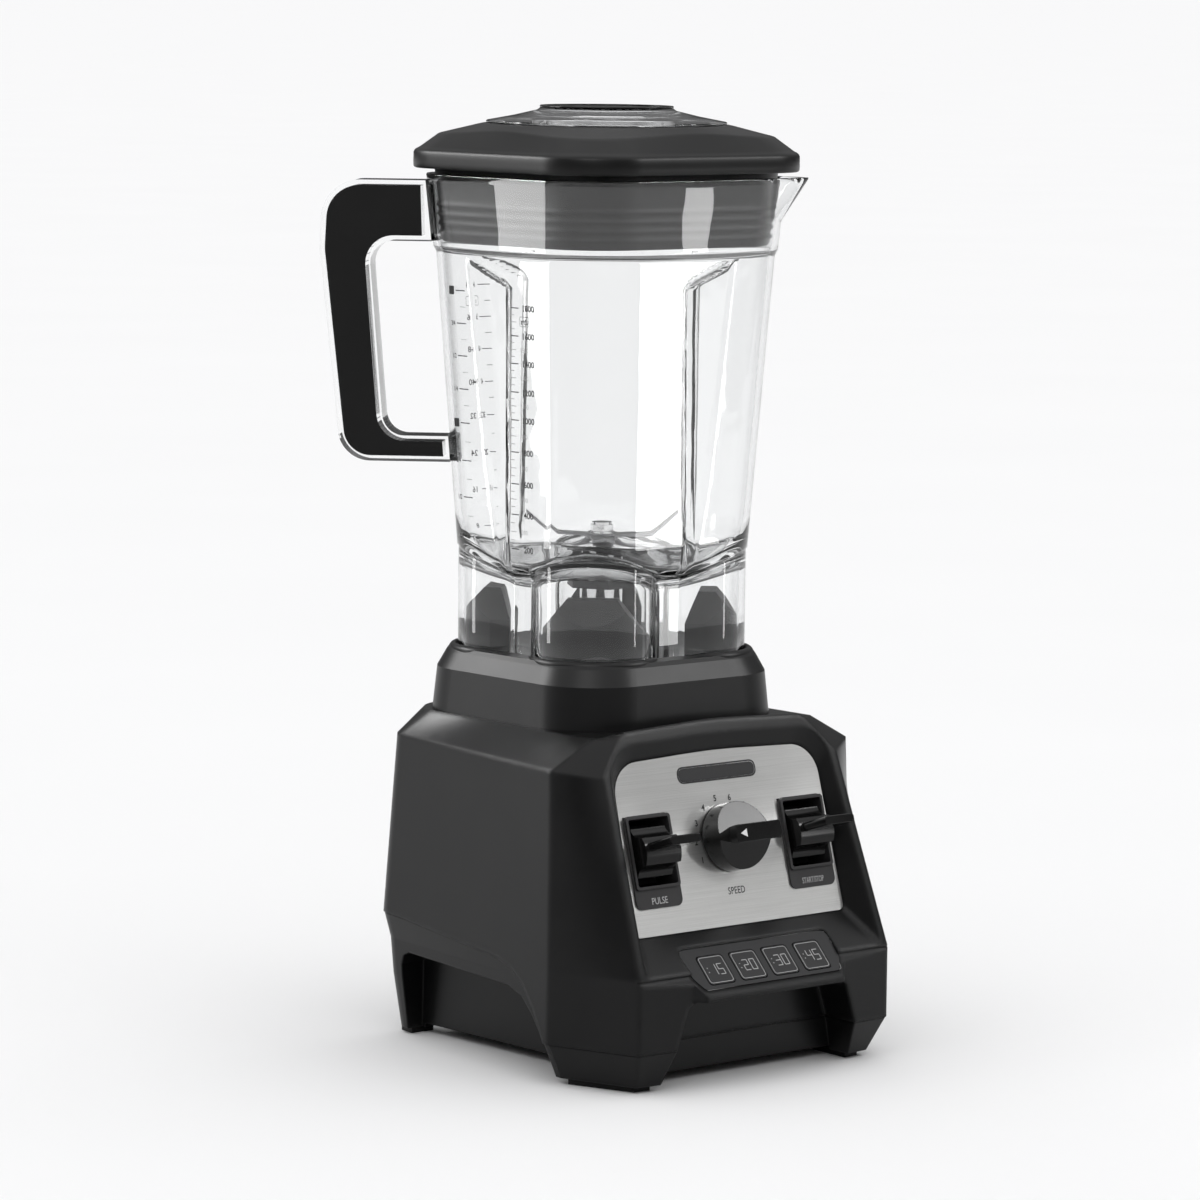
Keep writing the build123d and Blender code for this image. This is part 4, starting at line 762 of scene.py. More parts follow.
# ---------------------------------------------------------------- jar
@dataclass
class Jar:
    """Clear square jar with a lobed skirt, four flutes, a top ring, a spout and a handle rim."""

    low_z: float = 246.0 * MM
    high_z: float = 388.0 * MM
    low_half: float = 58.9 * MM
    high_half: float = 67.5 * MM
    low_corner: float = 29.5 * MM
    high_corner: float = 31.5 * MM
    wall: float = 3.0 * MM
    skirt_half: float = 58.3 * MM
    skirt_corner: float = 29.5 * MM
    skirt_core: float = 50.0 * MM
    skirt_foot: float = 188.0 * MM
    ring_low: float = 69.1 * MM
    ring_high: float = 71.8 * MM
    ring_corner: float = 34.0 * MM
    ring_bow: float = 0.9 * MM
    top_z: float = 424.0 * MM
    floor_z: float = 235.6 * MM
    hole: float = 11.2 * MM
    handle_angle: float = pi * 3 / 4
    spout_angle: float = -pi / 4
    spout_reach: float = 11.0 * MM
    flute_high_z: float = 386.0 * MM
    flute_lean: float = 9.0 * MM
    spout_low_z: float = 403.0 * MM
    spout_width: float = 0.17
    floor_thick: float = 4.6 * MM

    def build(self) -> None:
        """Make the jar, its handle rim and its volume scales."""
        shell = piece_from("jar_shell", turned_shell(self.rows(), 432), Look.CLEAR, "jar")
        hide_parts("jar_body")
        self.handle()
        self.scales()

    def share(self, z: float) -> float:
        """How far up the straight wall z is."""
        return (z - self.low_z) / (self.high_z - self.low_z)

    def body(self, angle: float, z: float, inset: float) -> float:
        """Distance to the square wall, moved inwards by inset, with its flutes."""
        share = self.share(z)
        half = self.low_half + (self.high_half - self.low_half) * share - inset
        corner = self.low_corner + (self.high_corner - self.low_corner) * share - inset
        reach = square_reach(angle, half, corner)
        return reach - self.flute(angle, reach, z) / cos(off_middle(angle))

    def flute(self, angle: float, reach: float, z: float) -> float:
        """Depth of the flute at a point of the wall; its top is cut off at a slant."""
        share = held(self.share(z))
        width = (3.6 + 11.6 * share) * MM
        depth = (2.2 + 4.6 * share) * MM
        face = round((angle - off_middle(angle)) / (pi / 2)) % 4
        side = 1.0 if face in (0, 2) else -1.0
        lean = self.flute_lean * (0.7 + 0.3 * share)
        across = (side * reach * sin(off_middle(angle)) + lean) / width
        profile = min(max((across + 1.0) / 1.55, 0.0), max((1.0 - across) / 0.3, 0.0), 1.0)
        top = self.flute_high_z - (0.5 + 0.5 * across) * 12.0 * MM
        fade = held((top - z) / (5.0 * MM)) * held((z - self.low_z) / (6.0 * MM))
        return depth * profile * fade * fade * (3 - 2 * fade)

    def ring(self, angle: float, z: float, inset: float) -> float:
        """Distance to the top ring, with the spout drawn out of it."""
        share = (z - self.high_z) / (self.top_z - self.high_z)
        half = self.ring_low + (self.ring_high - self.ring_low) * share - inset
        reach = bowed_reach(angle, half, self.ring_corner - inset, self.ring_bow)
        turn = abs((angle - self.spout_angle + pi) % (2 * pi) - pi)
        beak = max(1.0 - turn / self.spout_width, 0.0)
        lift = max((z - self.spout_low_z) / (self.top_z - self.spout_low_z), 0.0)
        return reach + self.spout_reach * beak ** 0.8 * lift

    def skirt(self, angle: float, inset: float) -> float:
        """Distance to the lobed skirt."""
        return lobed_reach(angle, self.skirt_half - inset, self.skirt_corner - inset,
                           self.skirt_core - inset)

    def dish(self, reach: float, low: float) -> float:
        """Height of the dished floor at a distance from the axis, low in the middle."""
        rise = max(reach - 47.0 * MM, 0.0)
        return low + 0.66 * rise * rise / (rise + 5.0 * MM)

    def floor_point(self, start: float, end: float, share: float, low: float,
                    raised: float) -> tuple[float, float]:
        """A point of the dished floor.

        Args:
            start: distance from the axis where the row set starts.
            end: distance where it ends.
            share: how far from start to end the point is.
            low: the floor's lowest height.
            raised: how far the point is lifted off the dish.

        Returns:
            Its distance from the axis and its height.
        """
        reach = start + (end - start) * share
        return reach, self.dish(reach, low) + raised

    def rows(self) -> list[Row]:
        """The profile: up the outside, over the rim, down the inside, across the floor, down the skirt."""
        wall, under = self.wall, self.floor_z - self.floor_thick
        rows: list[Row] = []

        def add(reach: Callable[[float], float], height: Callable[[float], float]) -> None:
            """Add one row from its reach and height."""
            rows.append(lambda a: (reach(a), height(a)))

        def outer_skirt_top(angle: float) -> float:
            """Height where the skirt meets the floor's underside."""
            return self.dish(self.skirt(angle, 0), under)

        for share in (0.02, 0.3, 0.6, 0.9, 0.97):
            add(lambda a: self.skirt(a, 0),
                lambda a, t=share: self.skirt_foot + (outer_skirt_top(a) - self.skirt_foot) * t)
        for share in (0.06, 0.5, 0.94):
            rows.append(lambda a, t=share: self.floor_point(
                self.skirt(a, 0), self.body(a, self.low_z, 0), t, under, 0.3 * MM * t))
        heights = [248.5, 252, 260, 275, 300, 325, 345, 358, 366]
        heights += [368 + 1.5 * step for step in range(13)]
        for z in heights:
            add(lambda a, z=z * MM: self.body(a, z, 0), lambda a, z=z * MM: z)
        add(lambda a: self.ring(a, self.high_z, 0.3 * MM), lambda a: self.high_z + 0.2 * MM)
        for z in (388.8, 389.6, 396, 402.5, 403.5, 408, 414, 420, 423.2):
            add(lambda a, z=z * MM: self.ring(a, z, 0), lambda a, z=z * MM: z)
        for inset, z in ((0.5, 423.9), (wall / MM - 0.5, 423.9)):
            add(lambda a, i=inset * MM, z=z * MM: self.ring(a, z, i), lambda a, z=z * MM: z)
        for z in (423.2, 420, 414, 408, 403.5, 402.5, 396, 391.4, 390.4):
            add(lambda a, z=z * MM: self.ring(a, z, wall), lambda a, z=z * MM: z)
        for z in reversed(heights[1:]):
            add(lambda a, z=z * MM: self.body(a, z, wall), lambda a, z=z * MM: z)
        for share in (0.97, 0.9, 0.8, 0.65, 0.5):
            rows.append(lambda a, t=share: self.floor_point(
                self.hole, self.body(a, 252 * MM, wall), t, self.floor_z,
                (max(t - 0.8, 0.0) ** 2) * 60 * MM))
        middle, lead = 24.0 * MM, 0.3 * MM
        for reach, height in ((middle, self.floor_z), (self.hole + lead, self.floor_z),
                              (self.hole, self.floor_z - lead), (self.hole, under + lead),
                              (self.hole + lead, under), (middle, under)):
            rows.append(lambda a, r=reach, h=height: (r, h))
        for share in (0.5, 0.8, 0.96):
            rows.append(lambda a, t=share: self.floor_point(
                self.hole, self.skirt(a, wall), t, under - 0.2 * MM, 0.0))
        for share in (0.96, 0.85, 0.5, 0.02):
            add(lambda a: self.skirt(a, wall),
                lambda a, t=share: self.skirt_foot + (self.dish(
                    self.skirt(a, wall), under - 0.2 * MM) - self.skirt_foot) * t)
        for inset in (wall - 0.5 * MM, 0.5 * MM):
            add(lambda a, i=inset: self.skirt(a, i), lambda a: self.skirt_foot + 0.02 * MM)
        return rows

    def handle(self) -> None:
        """The handle's clear rim, cut from the CAD jar and brought up to this jar's wall."""
        mesh = bmesh.new()
        mesh.from_mesh(frame["nodes"]["jar_body"].data)
        bmesh.ops.remove_doubles(mesh, verts=mesh.verts, dist=1e-6)
        outward = Vector((-1, 1, 0)).normalized()
        foot = Vector((0, 0, 284 * MM)) + outward * 75.6 * MM
        head = Vector((0, 0, 420 * MM)) + outward * 88.3 * MM
        run = (head - foot).normalized()
        normal = run.cross(outward.cross(run)).normalized()
        if normal.dot(outward) < 0:
            normal = -normal
        for point, direction in ((foot, normal), (Vector((0, 0, 270 * MM)), Vector((0, 0, 1)))):
            geometry = list(mesh.verts) + list(mesh.edges) + list(mesh.faces)
            bmesh.ops.bisect_plane(mesh, geom=geometry, plane_co=point, plane_no=direction,
                                   clear_inner=True)
        ends = [edge for edge in mesh.edges if edge.is_boundary]
        bmesh.ops.holes_fill(mesh, edges=ends, sides=0)
        for vertex in mesh.verts:
            if abs((vertex.co - foot).dot(normal)) < 1e-5:
                outline = self.ring if vertex.co.z > self.high_z else self.body
                wall = outline(self.handle_angle, vertex.co.z, 0)
                vertex.co += outward * (wall - vertex.co.dot(outward) - 0.3 * MM)
        bmesh.ops.recalc_face_normals(mesh, faces=mesh.faces)
        piece = piece_from("jar_handle_rim", mesh, Look.CLEAR, "jar", smooth=False)
        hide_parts("jar_body")

    def wall_face(self, outward: Vector) -> Face:
        """The flat of the wall on one side, from its foot."""
        across = Vector((0, 0, 1)).cross(outward)
        lean = (self.high_half - self.low_half) / (self.high_z - self.low_z)
        up = (Vector((0, 0, 1)) + outward * lean).normalized()
        return Face(outward * self.low_half + Vector((0, 0, self.low_z)), across, up)

    def scales(self) -> None:
        """Millilitres and cups on the left wall, ounces on the back wall."""
        ink = Prints("jar_volume_scales", Look.DARK_INK, "clear_plastic", "jar")
        faint = Prints("jar_minor_scales", Look.PALE_INK, "clear_plastic", "jar")
        left = self.wall_face(Vector((-1, 0, 0)))
        back = self.wall_face(Vector((0, 1, 0)))
        rises = (0.0, 16.7, 31.6, 47.0, 62.5, 76.0, 89.7, 103.0, 116.4)
        levels = {200 * (index + 1): rise * MM for index, rise in enumerate(rises)}
        for volume, level in levels.items():
            start = self.scale_start(level)
            ink.strip(left, [(start, level), (start + 5.6 * MM, level)], 0.5 * MM, closed=False)
            ink.words(left, str(volume), start + 12.6 * MM, level, 2.9 * MM, 1.12, bold=0.11 * MM)
            above = levels.get(volume + 200)
            if above is None:
                continue
            for part in (0.25, 0.5, 0.75):
                height = level + (above - level) * part
                reach = 4.2 * MM if part == 0.5 else 3.0 * MM
                faint.strip(left, [(start, height), (start + reach, height)], 0.35 * MM, closed=False)
            faint.words(left, str(volume + 100), start + 10.2 * MM, (level + above) / 2, 2.2 * MM)
        top = levels[1800]
        ink.words(left, "mL", self.scale_start(top) + 9.6 * MM, top - 6.4 * MM, 2.8 * MM, bold=0.05 * MM)
        self.unit_box(ink, left, self.scale_start(top) + 9.6 * MM, top - 6.4 * MM)
        for index, text in enumerate(("1/4", "1/2", "3/4", "1", "1/4", "1/2", "3/4", "2")):
            level = self.level_of((index + 1) * QUARTER_ML, levels)
            ink.strip(left, [(-26.0 * MM, level), (-33.0 * MM, level)], 0.5 * MM, closed=False)
            if text in "12":
                ink.patch(left, box_loop(-36.0 * MM, level, 1.9 * MM, 2.1 * MM, 0.6 * MM))
            else:
                ink.words(left, text, -35.6 * MM, level, 2.3 * MM, 0.7, bold=0.08 * MM)
        for eighth in range(1, 16):
            level = self.level_of(eighth * EIGHTH_ML, levels)
            faint.strip(left, [(-26.0 * MM, level), (-30.0 * MM, level)], 0.3 * MM, closed=False)
        for ounces in range(4, 65, 4):
            level = self.level_of(ounces * OUNCE_ML, levels)
            long = ounces % 8 == 0
            pen = ink if long else faint
            end = 26.0 * MM if long else 22.0 * MM
            pen.strip(back, [(18.0 * MM, level), (end, level)], 0.4 * MM, closed=False)
            if long:
                ink.words(back, str(ounces), 30.4 * MM, level, 2.8 * MM, 1.05, bold=0.08 * MM)
        self.unit_box(ink, back, 29.4 * MM, self.level_of(60 * OUNCE_ML, levels))
        ink.words(back, "oz", 29.4 * MM, self.level_of(60 * OUNCE_ML, levels), 2.2 * MM)
        ink.finish()
        faint.finish()

    def scale_start(self, level: float) -> float:
        """Where the millilitre ticks start, beside the flute."""
        return (2.4 + 54.0 * level) * MM

    def level_of(self, volume: float, levels: dict[int, float]) -> float:
        """Height up the wall of a volume in millilitres, read off the marked levels."""
        known = sorted(levels)
        low = max([mark for mark in known if mark <= volume] or [known[0]])
        low = min(low, known[-2])
        high = known[known.index(low) + 1]
        return levels[low] + (levels[high] - levels[low]) * (volume - low) / (high - low)

    def unit_box(self, ink: Prints, face: Face, x: float, v: float) -> None:
        """A small rounded frame round a unit's name."""
        ink.strip(face, box_loop(x, v, 3.4 * MM, 2.3 * MM, 0.9 * MM), 0.2 * MM)


# ---------------------------------------------------------------- lid
@dataclass
class Lid:
    """Black lid: square rim, scalloped crown, and a ribbed plug that seals in the ring."""

    half: float = 76.2 * MM
    corner: float = 34.0 * MM
    rim_z: float = 435.5 * MM
    crown_z: float = 448.5 * MM
    crown: float = 60.0 * MM
    bore: float = 38.5 * MM

    def build(self) -> None:
        """Make the lid."""
        lid = piece_from("lid_cover", turned_shell(self.rows(), 360), Look.LID, "lid")
        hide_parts("lid")

    def edge(self, angle: float, inset: float) -> float:
        """Distance to the rim."""
        return square_reach(angle, self.half - inset, self.corner - inset)

    def crease(self, angle: float) -> float:
        """How far out the crown's flat petals reach, as a share of the slope; furthest at the corners."""
        return 0.40 + 0.26 * sin(2 * angle) ** 2

    def slope(self, angle: float, share: float) -> tuple[float, float]:
        """A point of the sloped top between crown and rim: shallow inside the crease, steeper outside."""
        reach = self.crown + (self.edge(angle, 1.6 * MM) - self.crown) * share
        bend = self.crease(angle)
        drop_at_bend = 0.30 * bend / 0.5
        if share < bend:
            drop = drop_at_bend * share / bend
        else:
            drop = drop_at_bend + (1 - drop_at_bend) * (share - bend) / (1 - bend)
        return reach, self.crown_z - (self.crown_z - self.rim_z) * drop

    def plug(self, angle: float, z: float, inset: float) -> float:
        """Distance to the plug's wall, drafted like the ring it fills."""
        share = (z - 388.0 * MM) / (36.0 * MM)
        return bowed_reach(angle, (65.4 + 2.5 * share) * MM - inset, 30.6 * MM - inset, 0.7 * MM)

    def rows(self) -> list[Row]:
        """The profile: over the crown, down the rim, down the ribbed plug and up the bore."""
        rows: list[Row] = [lambda a: (self.bore, self.crown_z - 0.6 * MM),
                           lambda a: (self.bore + 0.6 * MM, self.crown_z),
                           lambda a: (self.crown - 2 * MM, self.crown_z),
                           lambda a: (self.crown - 0.4 * MM, self.crown_z)]
        for step in range(1, 24):
            rows.append(lambda a, t=step / 24: self.slope(a, t))
        for inset, z in ((1.2, 435.6), (0.5, 434.9), (0.1, 434.0), (0.0, 430.0), (0.1, 427.4),
                         (0.5, 426.8), (1.2, 426.5), (4.0, 426.6)):
            rows.append(lambda a, i=inset * MM, z=z * MM: (self.edge(a, i), z))
        rows.append(lambda a: (self.plug(a, 426.0 * MM, 0.2 * MM), 426.3 * MM))
        for middle in (409.0, 404.5, 400.0, 395.5):
            for offset, bulge in ((2.0, 0.9), (1.0, 0.4), (0.4, -0.3), (-0.4, -0.3), (-1.0, 0.4)):
                z = (middle + offset) * MM
                rows.append(lambda a, z=z, b=bulge * MM: (self.plug(a, z, b), z))
        for inset, z in ((0.9, 392.0), (1.6, 391.2), (4.0, 391.0)):
            rows.append(lambda a, i=inset * MM, z=z * MM: (self.plug(a, z, i), z))
        rows.append(lambda a: (self.bore + 1.0 * MM, 391.0 * MM))
        rows.append(lambda a: (self.bore, 391.6 * MM))
        return rows


# ---------------------------------------------------------------- filler cap
@dataclass
class FillerCap:
    """Clear cap: a small disc, a long sloping flange, and a ribbed hollow skirt in the lid's bore."""

    disc: float = 32.4 * MM
    flange: float = 58.4 * MM
    skirt: float = 37.9 * MM
    wall: float = 2.4 * MM
    crown_z: float = 448.5 * MM
    ribs: int = 10

    def build(self) -> None:
        """Make the cap and the dark trim round its disc."""
        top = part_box("filler_cap")[1].z
        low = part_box("filler_cap")[0].z
        body = self.solid(self.cap_rows(top, low))
        cap = piece_from("cap_clear", body, Look.CLEAR, "filler_cap")
        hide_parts("filler_cap")
        profile = ((-1.7, 0.05), (-1.5, 0.35), (-0.3, 0.35), (0.05, -0.1), (0.05, -0.6), (-0.3, -0.1),
                   (-1.5, -0.02))
        trim = [lambda a, r=reach, z=height: (self.disc + r * MM, top + z * MM)
                for reach, height in profile]
        ring = piece_from("cap_trim", turned_shell(trim, 180), Look.CONTROL, "filler_cap")
        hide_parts("filler_cap")

    def solid(self, rows: list[Row]) -> bmesh.types.BMesh:
        """A turned shell whose first and last rows meet the axis."""
        mesh = turned_shell(rows, 240)
        bmesh.ops.remove_doubles(mesh, verts=mesh.verts, dist=1e-7)
        stray = [edge for edge in mesh.edges if not edge.link_faces]
        bmesh.ops.delete(mesh, geom=stray, context="EDGES")
        bmesh.ops.recalc_face_normals(mesh, faces=mesh.faces)
        return mesh

    def cap_rows(self, top: float, low: float) -> list[Row]:
        """The profile from the middle of the disc, down the flange and skirt, and back up inside.

        Args:
            top: height of the disc.
            low: height of the skirt's end.

        Returns:
            The rows.
        """
        disc, flange, skirt, crown = self.disc, self.flange, self.skirt, self.crown_z
        inside = skirt - self.wall
        outside = [(0.0, top), (disc / 2, top), (disc - 0.9 * MM, top), (disc - 0.3 * MM, top - 0.3 * MM),
                   (disc, top - 1.0 * MM), (disc + 1.2 * MM, top - 1.9 * MM), (45.0 * MM, crown + 3.9 * MM),
                   (flange - 0.6 * MM, crown + 1.5 * MM), (flange, crown + 1.0 * MM),
                   (flange - 0.4 * MM, crown + 0.2 * MM), (skirt + 4 * MM, crown + 0.2 * MM),
                   (skirt + 0.4 * MM, crown + 0.1 * MM), (skirt, crown - 0.6 * MM),
                   (skirt, low + 0.6 * MM), (skirt - 0.5 * MM, low), (inside + 0.5 * MM, low)]
        rows: list[Row] = [lambda a, r=reach, z=height: (r, z) for reach, height in outside]
        for share, height in ((1.0, low + 0.6 * MM), (1.0, crown - 6 * MM), (0.4, crown - 1.0 * MM)):
            rows.append(lambda a, t=share, z=height: (inside - t * self.rib(a), z))
        under = [(inside - 2.0 * MM, crown + 2.2 * MM), (30.0 * MM, top - 3.6 * MM),
                 (22.0 * MM, top - 2.8 * MM), (0.0, top - 2.6 * MM)]
        return rows + [lambda a, r=reach, z=height: (r, z) for reach, height in under]

    def rib(self, angle: float) -> float:
        """How far the skirt's inner ribs stand out in a direction."""
        return 0.9 * MM * max(cos(self.ribs * angle), 0.0) ** 2


# ---------------------------------------------------------------- collar
@dataclass
class Collar:
    """Rolled lip of the collar, which follows the lobes of the jar's skirt."""

    half: float = 58.3 * MM
    corner: float = 29.5 * MM
    core: float = 50.0 * MM
    lip_z: float = 194.2 * MM

    def build(self) -> None:
        """Make the lip."""
        profile = ((0.7, -3.0), (0.7, 0.2), (1.0, 0.9), (1.7, 1.3), (2.6, 1.2), (3.4, 0.7), (4.2, -0.4),
                   (4.6, -3.0))
        rows = [lambda a, r=grow * MM, z=rise * MM: self.point(a, r, z) for grow, rise in profile]
        piece_from("collar_lip", turned_shell(rows, 360), Look.COLLAR, "base")

    def point(self, angle: float, grow: float, rise: float) -> tuple[float, float]:
        """A point of the lip, which dips between the lobes.

        Args:
            angle: its direction.
            grow: how far outside the skirt it is.
            rise: how far above the lip's line it is.

        Returns:
            Its distance from the axis and its height.
        """
        skirt = lobed_reach(angle, self.half, self.corner, self.core)
        dip = max(1.0 - (skirt - self.core) / (8.0 * MM), 0.0)
        return skirt + grow, self.lip_z + rise - 1.6 * MM * dip


# ---------------------------------------------------------------- control panel
@dataclass
class ControlPanel:
    """Prints on the leaning steel plate, on the switch labels and on the keypad."""

    plate: Face = field(default_factory=lambda: leaning_face(-105.6 * MM, 71.6 * MM, 15.5))
    keypad: Face = field(default_factory=lambda: leaning_face(-131.4 * MM, 45.1 * MM, 44.6))
    dial_v: float = 41.6 * MM
    dial_radius: float = 19.9 * MM
    first_angle: float = 207.0
    step_angle: float = -26.5
    label_x: float = 49.0 * MM
    label_lift: float = 0.9 * MM
    key_v: float = 14.2 * MM
    key_pitch: float = 20.4 * MM
    key_half: float = 7.2 * MM
    word_v: float = 16.4 * MM

    def build(self) -> None:
        """Print the dial, the labels, the empty badge and the keys."""
        dark = Prints("panel_dark_prints", Look.DARK_INK, "brushed_plate", "base")
        pale = Prints("panel_pale_prints", Look.PALE_INK, "switch_label", "base")
        self.dial(dark)
        self.badge(dark, pale)
        raised = Face(self.plate.at(0, 0, self.label_lift), self.plate.across, self.plate.up)
        pale.words(raised, "PULSE", -self.label_x, self.word_v, 3.2 * MM, 0.82, bold=0.03 * MM)
        pale.words(raised, "START/STOP", self.label_x, self.word_v, 2.8 * MM, 0.62, bold=0.01 * MM)
        frame_line = [(-46.5, 26.7), (-45.8, 11.0), (-41.8, 3.7), (44.2, 4.5), (47.7, 21.8), (45.7, 27.6)]
        pale.strip(Face(self.keypad.at(0, 0, 0.05 * MM), self.keypad.across, self.keypad.up),
                   rounded_loop([(x * MM, v * MM) for x, v in frame_line], 1.5 * MM), 0.22 * MM)
        dark.finish()
        pale.finish()
        self.pointer()
        for index, seconds in enumerate((15, 20, 30, 45)):
            self.key(index, seconds)

    def dial(self, ink: Prints) -> None:
        """Numbers 1 to 10 round the speed knob, and its name."""
        for index in range(10):
            angle = radians(self.first_angle + self.step_angle * index)
            ink.words(self.plate, str(index + 1), self.dial_radius * cos(angle),
                      self.dial_v + self.dial_radius * sin(angle), 2.9 * MM, 0.95, bold=0.1 * MM)
        ink.words(self.plate, "SPEED", 0.3 * MM, self.word_v, 3.4 * MM, 0.8, spacing=1.05, bold=0.04 * MM)

    def badge(self, ink: Prints, pale: Prints) -> None:
        """An empty pill-shaped badge with a pale rim line near the plate's top."""
        half, rise, middle = 25.0 * MM, 4.1 * MM, 73.6 * MM
        ink.patch(self.plate, box_loop(0.0, middle, half, rise, rise * 0.98, 10))
        rim = box_loop(0.0, middle, half * 0.965, rise * 0.78, rise * 0.76, 10)
        pale.strip(self.plate, rim, 0.35 * MM)

    def pointer(self) -> None:
        """White triangle on the knob's grip bar."""
        ink = Prints("knob_pointer", Look.WHITE_INK, "gloss_black", "speed_knob",
                     lift=2 * PRINT_LIFT)
        outermost = max((vertex.co - self.plate.origin).dot(self.plate.out)
                        for vertex in frame["nodes"]["speed_knob"].data.vertices)
        face = Face(self.plate.at(0, self.dial_v, outermost), self.plate.across, self.plate.up)
        ink.patch(face, [(-11.4 * MM, 0), (-7.4 * MM, -2.0 * MM), (-7.4 * MM, 2.0 * MM)])
        ink.finish()

    def key(self, index: int, seconds: int) -> None:
        """Outline and seconds of one timer key.

        Args:
            index: the key's place, from the left.
            seconds: what it says.
        """
        ink = Prints(f"timer_key_{seconds}_print", Look.PALE_INK, "keypad", f"timer_key_{seconds}",
                     lift=KEY_RISE + PRINT_LIFT)
        x = (index - 1.5) * self.key_pitch
        ink.strip(self.keypad, box_loop(x, self.key_v, self.key_half, self.key_half, 1.6 * MM), 0.28 * MM)
        for dot in (-1.2 * MM, 1.2 * MM):
            dash = [(x - 5.0 * MM, self.key_v + dot), (x - 4.5 * MM, self.key_v + dot)]
            ink.strip(self.keypad, dash, 0.5 * MM, closed=False)
        for place, digit in enumerate(str(seconds)):
            self.digit(ink, digit, x + (-1.2 + 4.4 * place) * MM)
        ink.finish()

    def digit(self, ink: Prints, digit: str, x: float) -> None:
        """One digit made of straight segments.

        Args:
            ink: the print it belongs to.
            digit: which digit.
            x: its middle across the keypad.
        """
        half, rise = 1.45 * MM, 2.9 * MM
        corner = {"a": (-1, 1), "b": (1, 1), "c": (-1, 0), "d": (1, 0), "e": (-1, -1), "f": (1, -1)}
        strokes = {"0": "ab bf fe ea", "1": "bf", "2": "ab bd dc ce ef", "3": "ab bf fe cd",
                   "4": "ac cd bf", "5": "ba ac cd df fe"}[digit]
        for stroke in strokes.split():
            line = [(x + corner[end][0] * half, self.key_v + corner[end][1] * rise) for end in stroke]
            ink.strip(self.keypad, line, 0.42 * MM, closed=False)


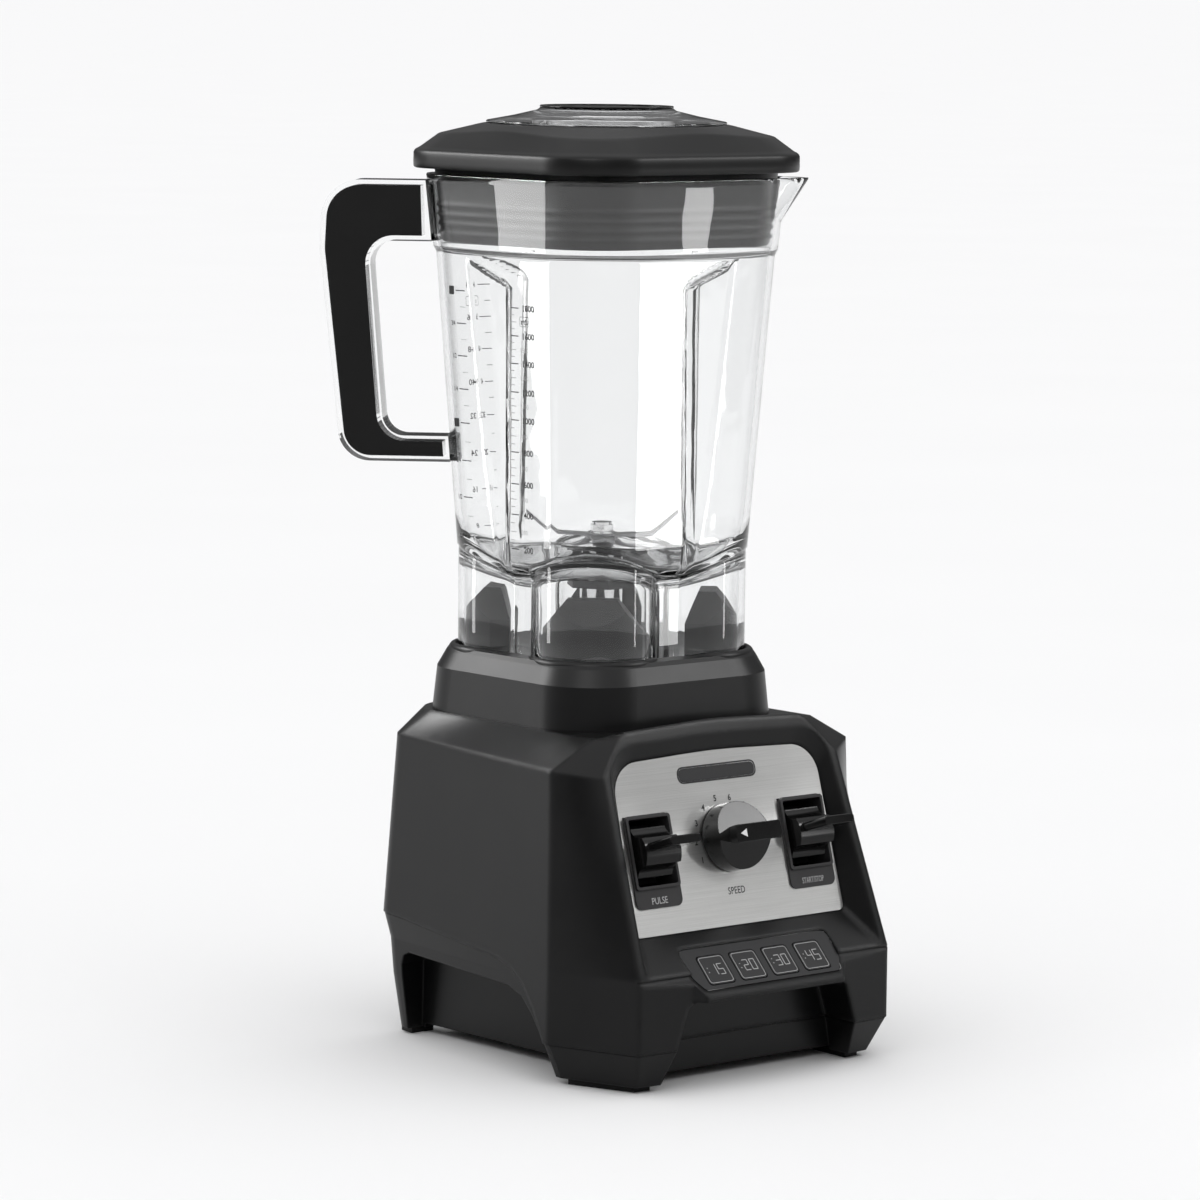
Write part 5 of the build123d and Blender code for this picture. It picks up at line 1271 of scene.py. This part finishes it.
# ---------------------------------------------------------------- studio
@dataclass
class Studio:
    """Pale floor, soft lights and the camera."""

    azimuth: float = -40.44
    elevation: float = 6.71
    roll: float = 0.62
    lens: float = 156.66
    distance: float = 2.5505
    aim_height: float = 0.21675
    aim_right: float = -0.00071
    floor_radius: float = 600.0
    sky: float = 0.9

    def build(self) -> None:
        """Make the floor, the world, the lamps and the camera."""
        self.floor()
        self.world()
        self.sun("overhead", (0.15, 0.25, -1.0), 100.0, 1.3)
        self.lamp("band_left", (-0.80, 0.76, 0.46), (0, 0, 0.30), (0.17, 0.86), 3.4)
        self.lamp("band_right", (0.69, -0.855, 0.16), (0, 0, 0.30), (0.07, 0.28), 0.55)
        self.lamp("ledge_left", (-1.0, 1.5, 1.15), (0, 0, 0.15), (0.9, 0.45), 26.0)
        self.lamp("ledge_front", (1.35, -1.25, 1.25), (0, 0, 0.15), (0.8, 0.4), 16.0)
        self.lamp("corner_top", (-1.2, -0.95, 1.5), (0, 0, 0.15), (0.9, 0.35), 8.0)
        self.camera()

    def floor(self) -> None:
        """A wide round floor, which isn't part of the blender."""
        mesh = bmesh.new()
        rings = [0.6, 2.0, 8.0, 60.0, self.floor_radius]
        centre = mesh.verts.new((0, 0, 0))
        previous = None
        for radius in rings:
            loop = [mesh.verts.new((radius * cos(2 * pi * k / 96), radius * sin(2 * pi * k / 96), 0))
                    for k in range(96)]
            for k in range(96):
                after = (k + 1) % 96
                if previous is None:
                    mesh.faces.new((centre, loop[k], loop[after]))
                else:
                    mesh.faces.new((previous[k], loop[k], loop[after], previous[after]))
            previous = loop
        data = bpy.data.meshes.new("studio_floor")
        mesh.to_mesh(data)
        mesh.free()
        floor = bpy.data.objects.new("studio_floor", data)
        bpy.context.scene.collection.objects.link(floor)
        recipe = Recipe("studio_floor_paper")
        tone = recipe.blend(recipe.noise(0.4, 2.0), (0.86, 0.86, 0.86), (0.88, 0.88, 0.88))
        data.materials.append(recipe.surface(Base_Color=tone, Roughness=0.9, Specular_IOR_Level=0.1))
        floor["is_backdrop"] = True

    def world(self) -> None:
        """Soft surroundings: bright overhead, darker towards the horizon."""
        world = bpy.data.worlds.new("studio_world")
        bpy.context.scene.world = world
        world.use_nodes = True
        tree = world.node_tree
        background = tree.nodes["Background"]
        where = tree.nodes.new("ShaderNodeTexCoord")
        split = tree.nodes.new("ShaderNodeSeparateXYZ")
        ramp = tree.nodes.new("ShaderNodeValToRGB")
        stops = [(0.0, 0.08), (0.12, 0.10), (0.40, 0.50), (0.75, 1.0)]
        fill_ramp(ramp.color_ramp, [(height, (grey, grey, grey * 1.01)) for height, grey in stops])
        tree.links.new(where.outputs["Generated"], split.inputs[0])
        tree.links.new(split.outputs["Z"], ramp.inputs[0])
        tree.links.new(ramp.outputs[0], background.inputs["Color"])
        background.inputs["Strength"].default_value = self.sky

    def sun(self, name: str, aim: Sequence[float], spread: float, power: float) -> None:
        """Add one even, soft light from far away.

        Args:
            name: its name.
            aim: the direction it shines in.
            spread: how wide it looks, in degrees.
            power: its strength.
        """
        light = bpy.data.lights.new(name, "SUN")
        light.angle = radians(spread)
        light.energy = power
        holder = bpy.data.objects.new(name, light)
        holder.rotation_euler = Vector(aim).to_track_quat("-Z", "Y").to_euler()
        bpy.context.scene.collection.objects.link(holder)

    def lamp(self, name: str, place: Sequence[float], aim: Sequence[float], size: tuple[float, float],
             power: float) -> None:
        """Add one soft rectangular lamp that shows only as gloss on the surfaces facing it.

        Args:
            name: its name.
            place: where it hangs.
            aim: the point it faces.
            size: its width and height.
            power: its power in watts.
        """
        light = bpy.data.lights.new(name, "AREA")
        light.shape = "RECTANGLE"
        light.size, light.size_y = size
        light.energy = power
        holder = bpy.data.objects.new(name, light)
        holder.location = place
        holder.visible_diffuse = False
        holder.visible_transmission = False
        direction = Vector(aim) - Vector(place)
        holder.rotation_euler = direction.to_track_quat("-Z", "Y").to_euler()
        bpy.context.scene.collection.objects.link(holder)

    def camera(self) -> None:
        """Stand the camera at its azimuth and elevation."""
        turn, rise, roll = radians(self.azimuth), radians(self.elevation), radians(self.roll)
        back = Vector((sin(turn) * cos(rise), -cos(turn) * cos(rise), sin(rise)))
        right = Vector((cos(turn), sin(turn), 0))
        upward = back.cross(right)
        x_axis = right * cos(roll) + upward * sin(roll)
        y_axis = upward * cos(roll) - right * sin(roll)
        place = Vector((0, 0, self.aim_height)) + right * self.aim_right + back * self.distance
        data = bpy.data.cameras.new("camera")
        data.lens = self.lens
        data.sensor_width = 36.0
        data.clip_end = 1000.0
        camera = bpy.data.objects.new("camera", data)
        bpy.context.scene.collection.objects.link(camera)
        rows = Matrix((x_axis, y_axis, back)).transposed().to_4x4()
        camera.matrix_world = Matrix.Translation(place) @ rows
        bpy.context.scene.camera = camera
        scene = bpy.context.scene
        scene.view_settings.view_transform = "Standard"
        scene.cycles.max_bounces = 24
        scene.cycles.transmission_bounces = 20
        scene.cycles.transparent_max_bounces = 24


def main() -> None:
    """Build every sub-assembly in order and report it."""
    logging.basicConfig(level=logging.INFO, format="%(message)s")
    dress_cad()
    Studio().build()
    ControlPanel().build()
    Collar().build()
    Jar().build()
    Lid().build()
    FillerCap().build()
    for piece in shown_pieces():
        LOG.info("piece %s", piece.name)


if __name__ == "__main__":
    main()
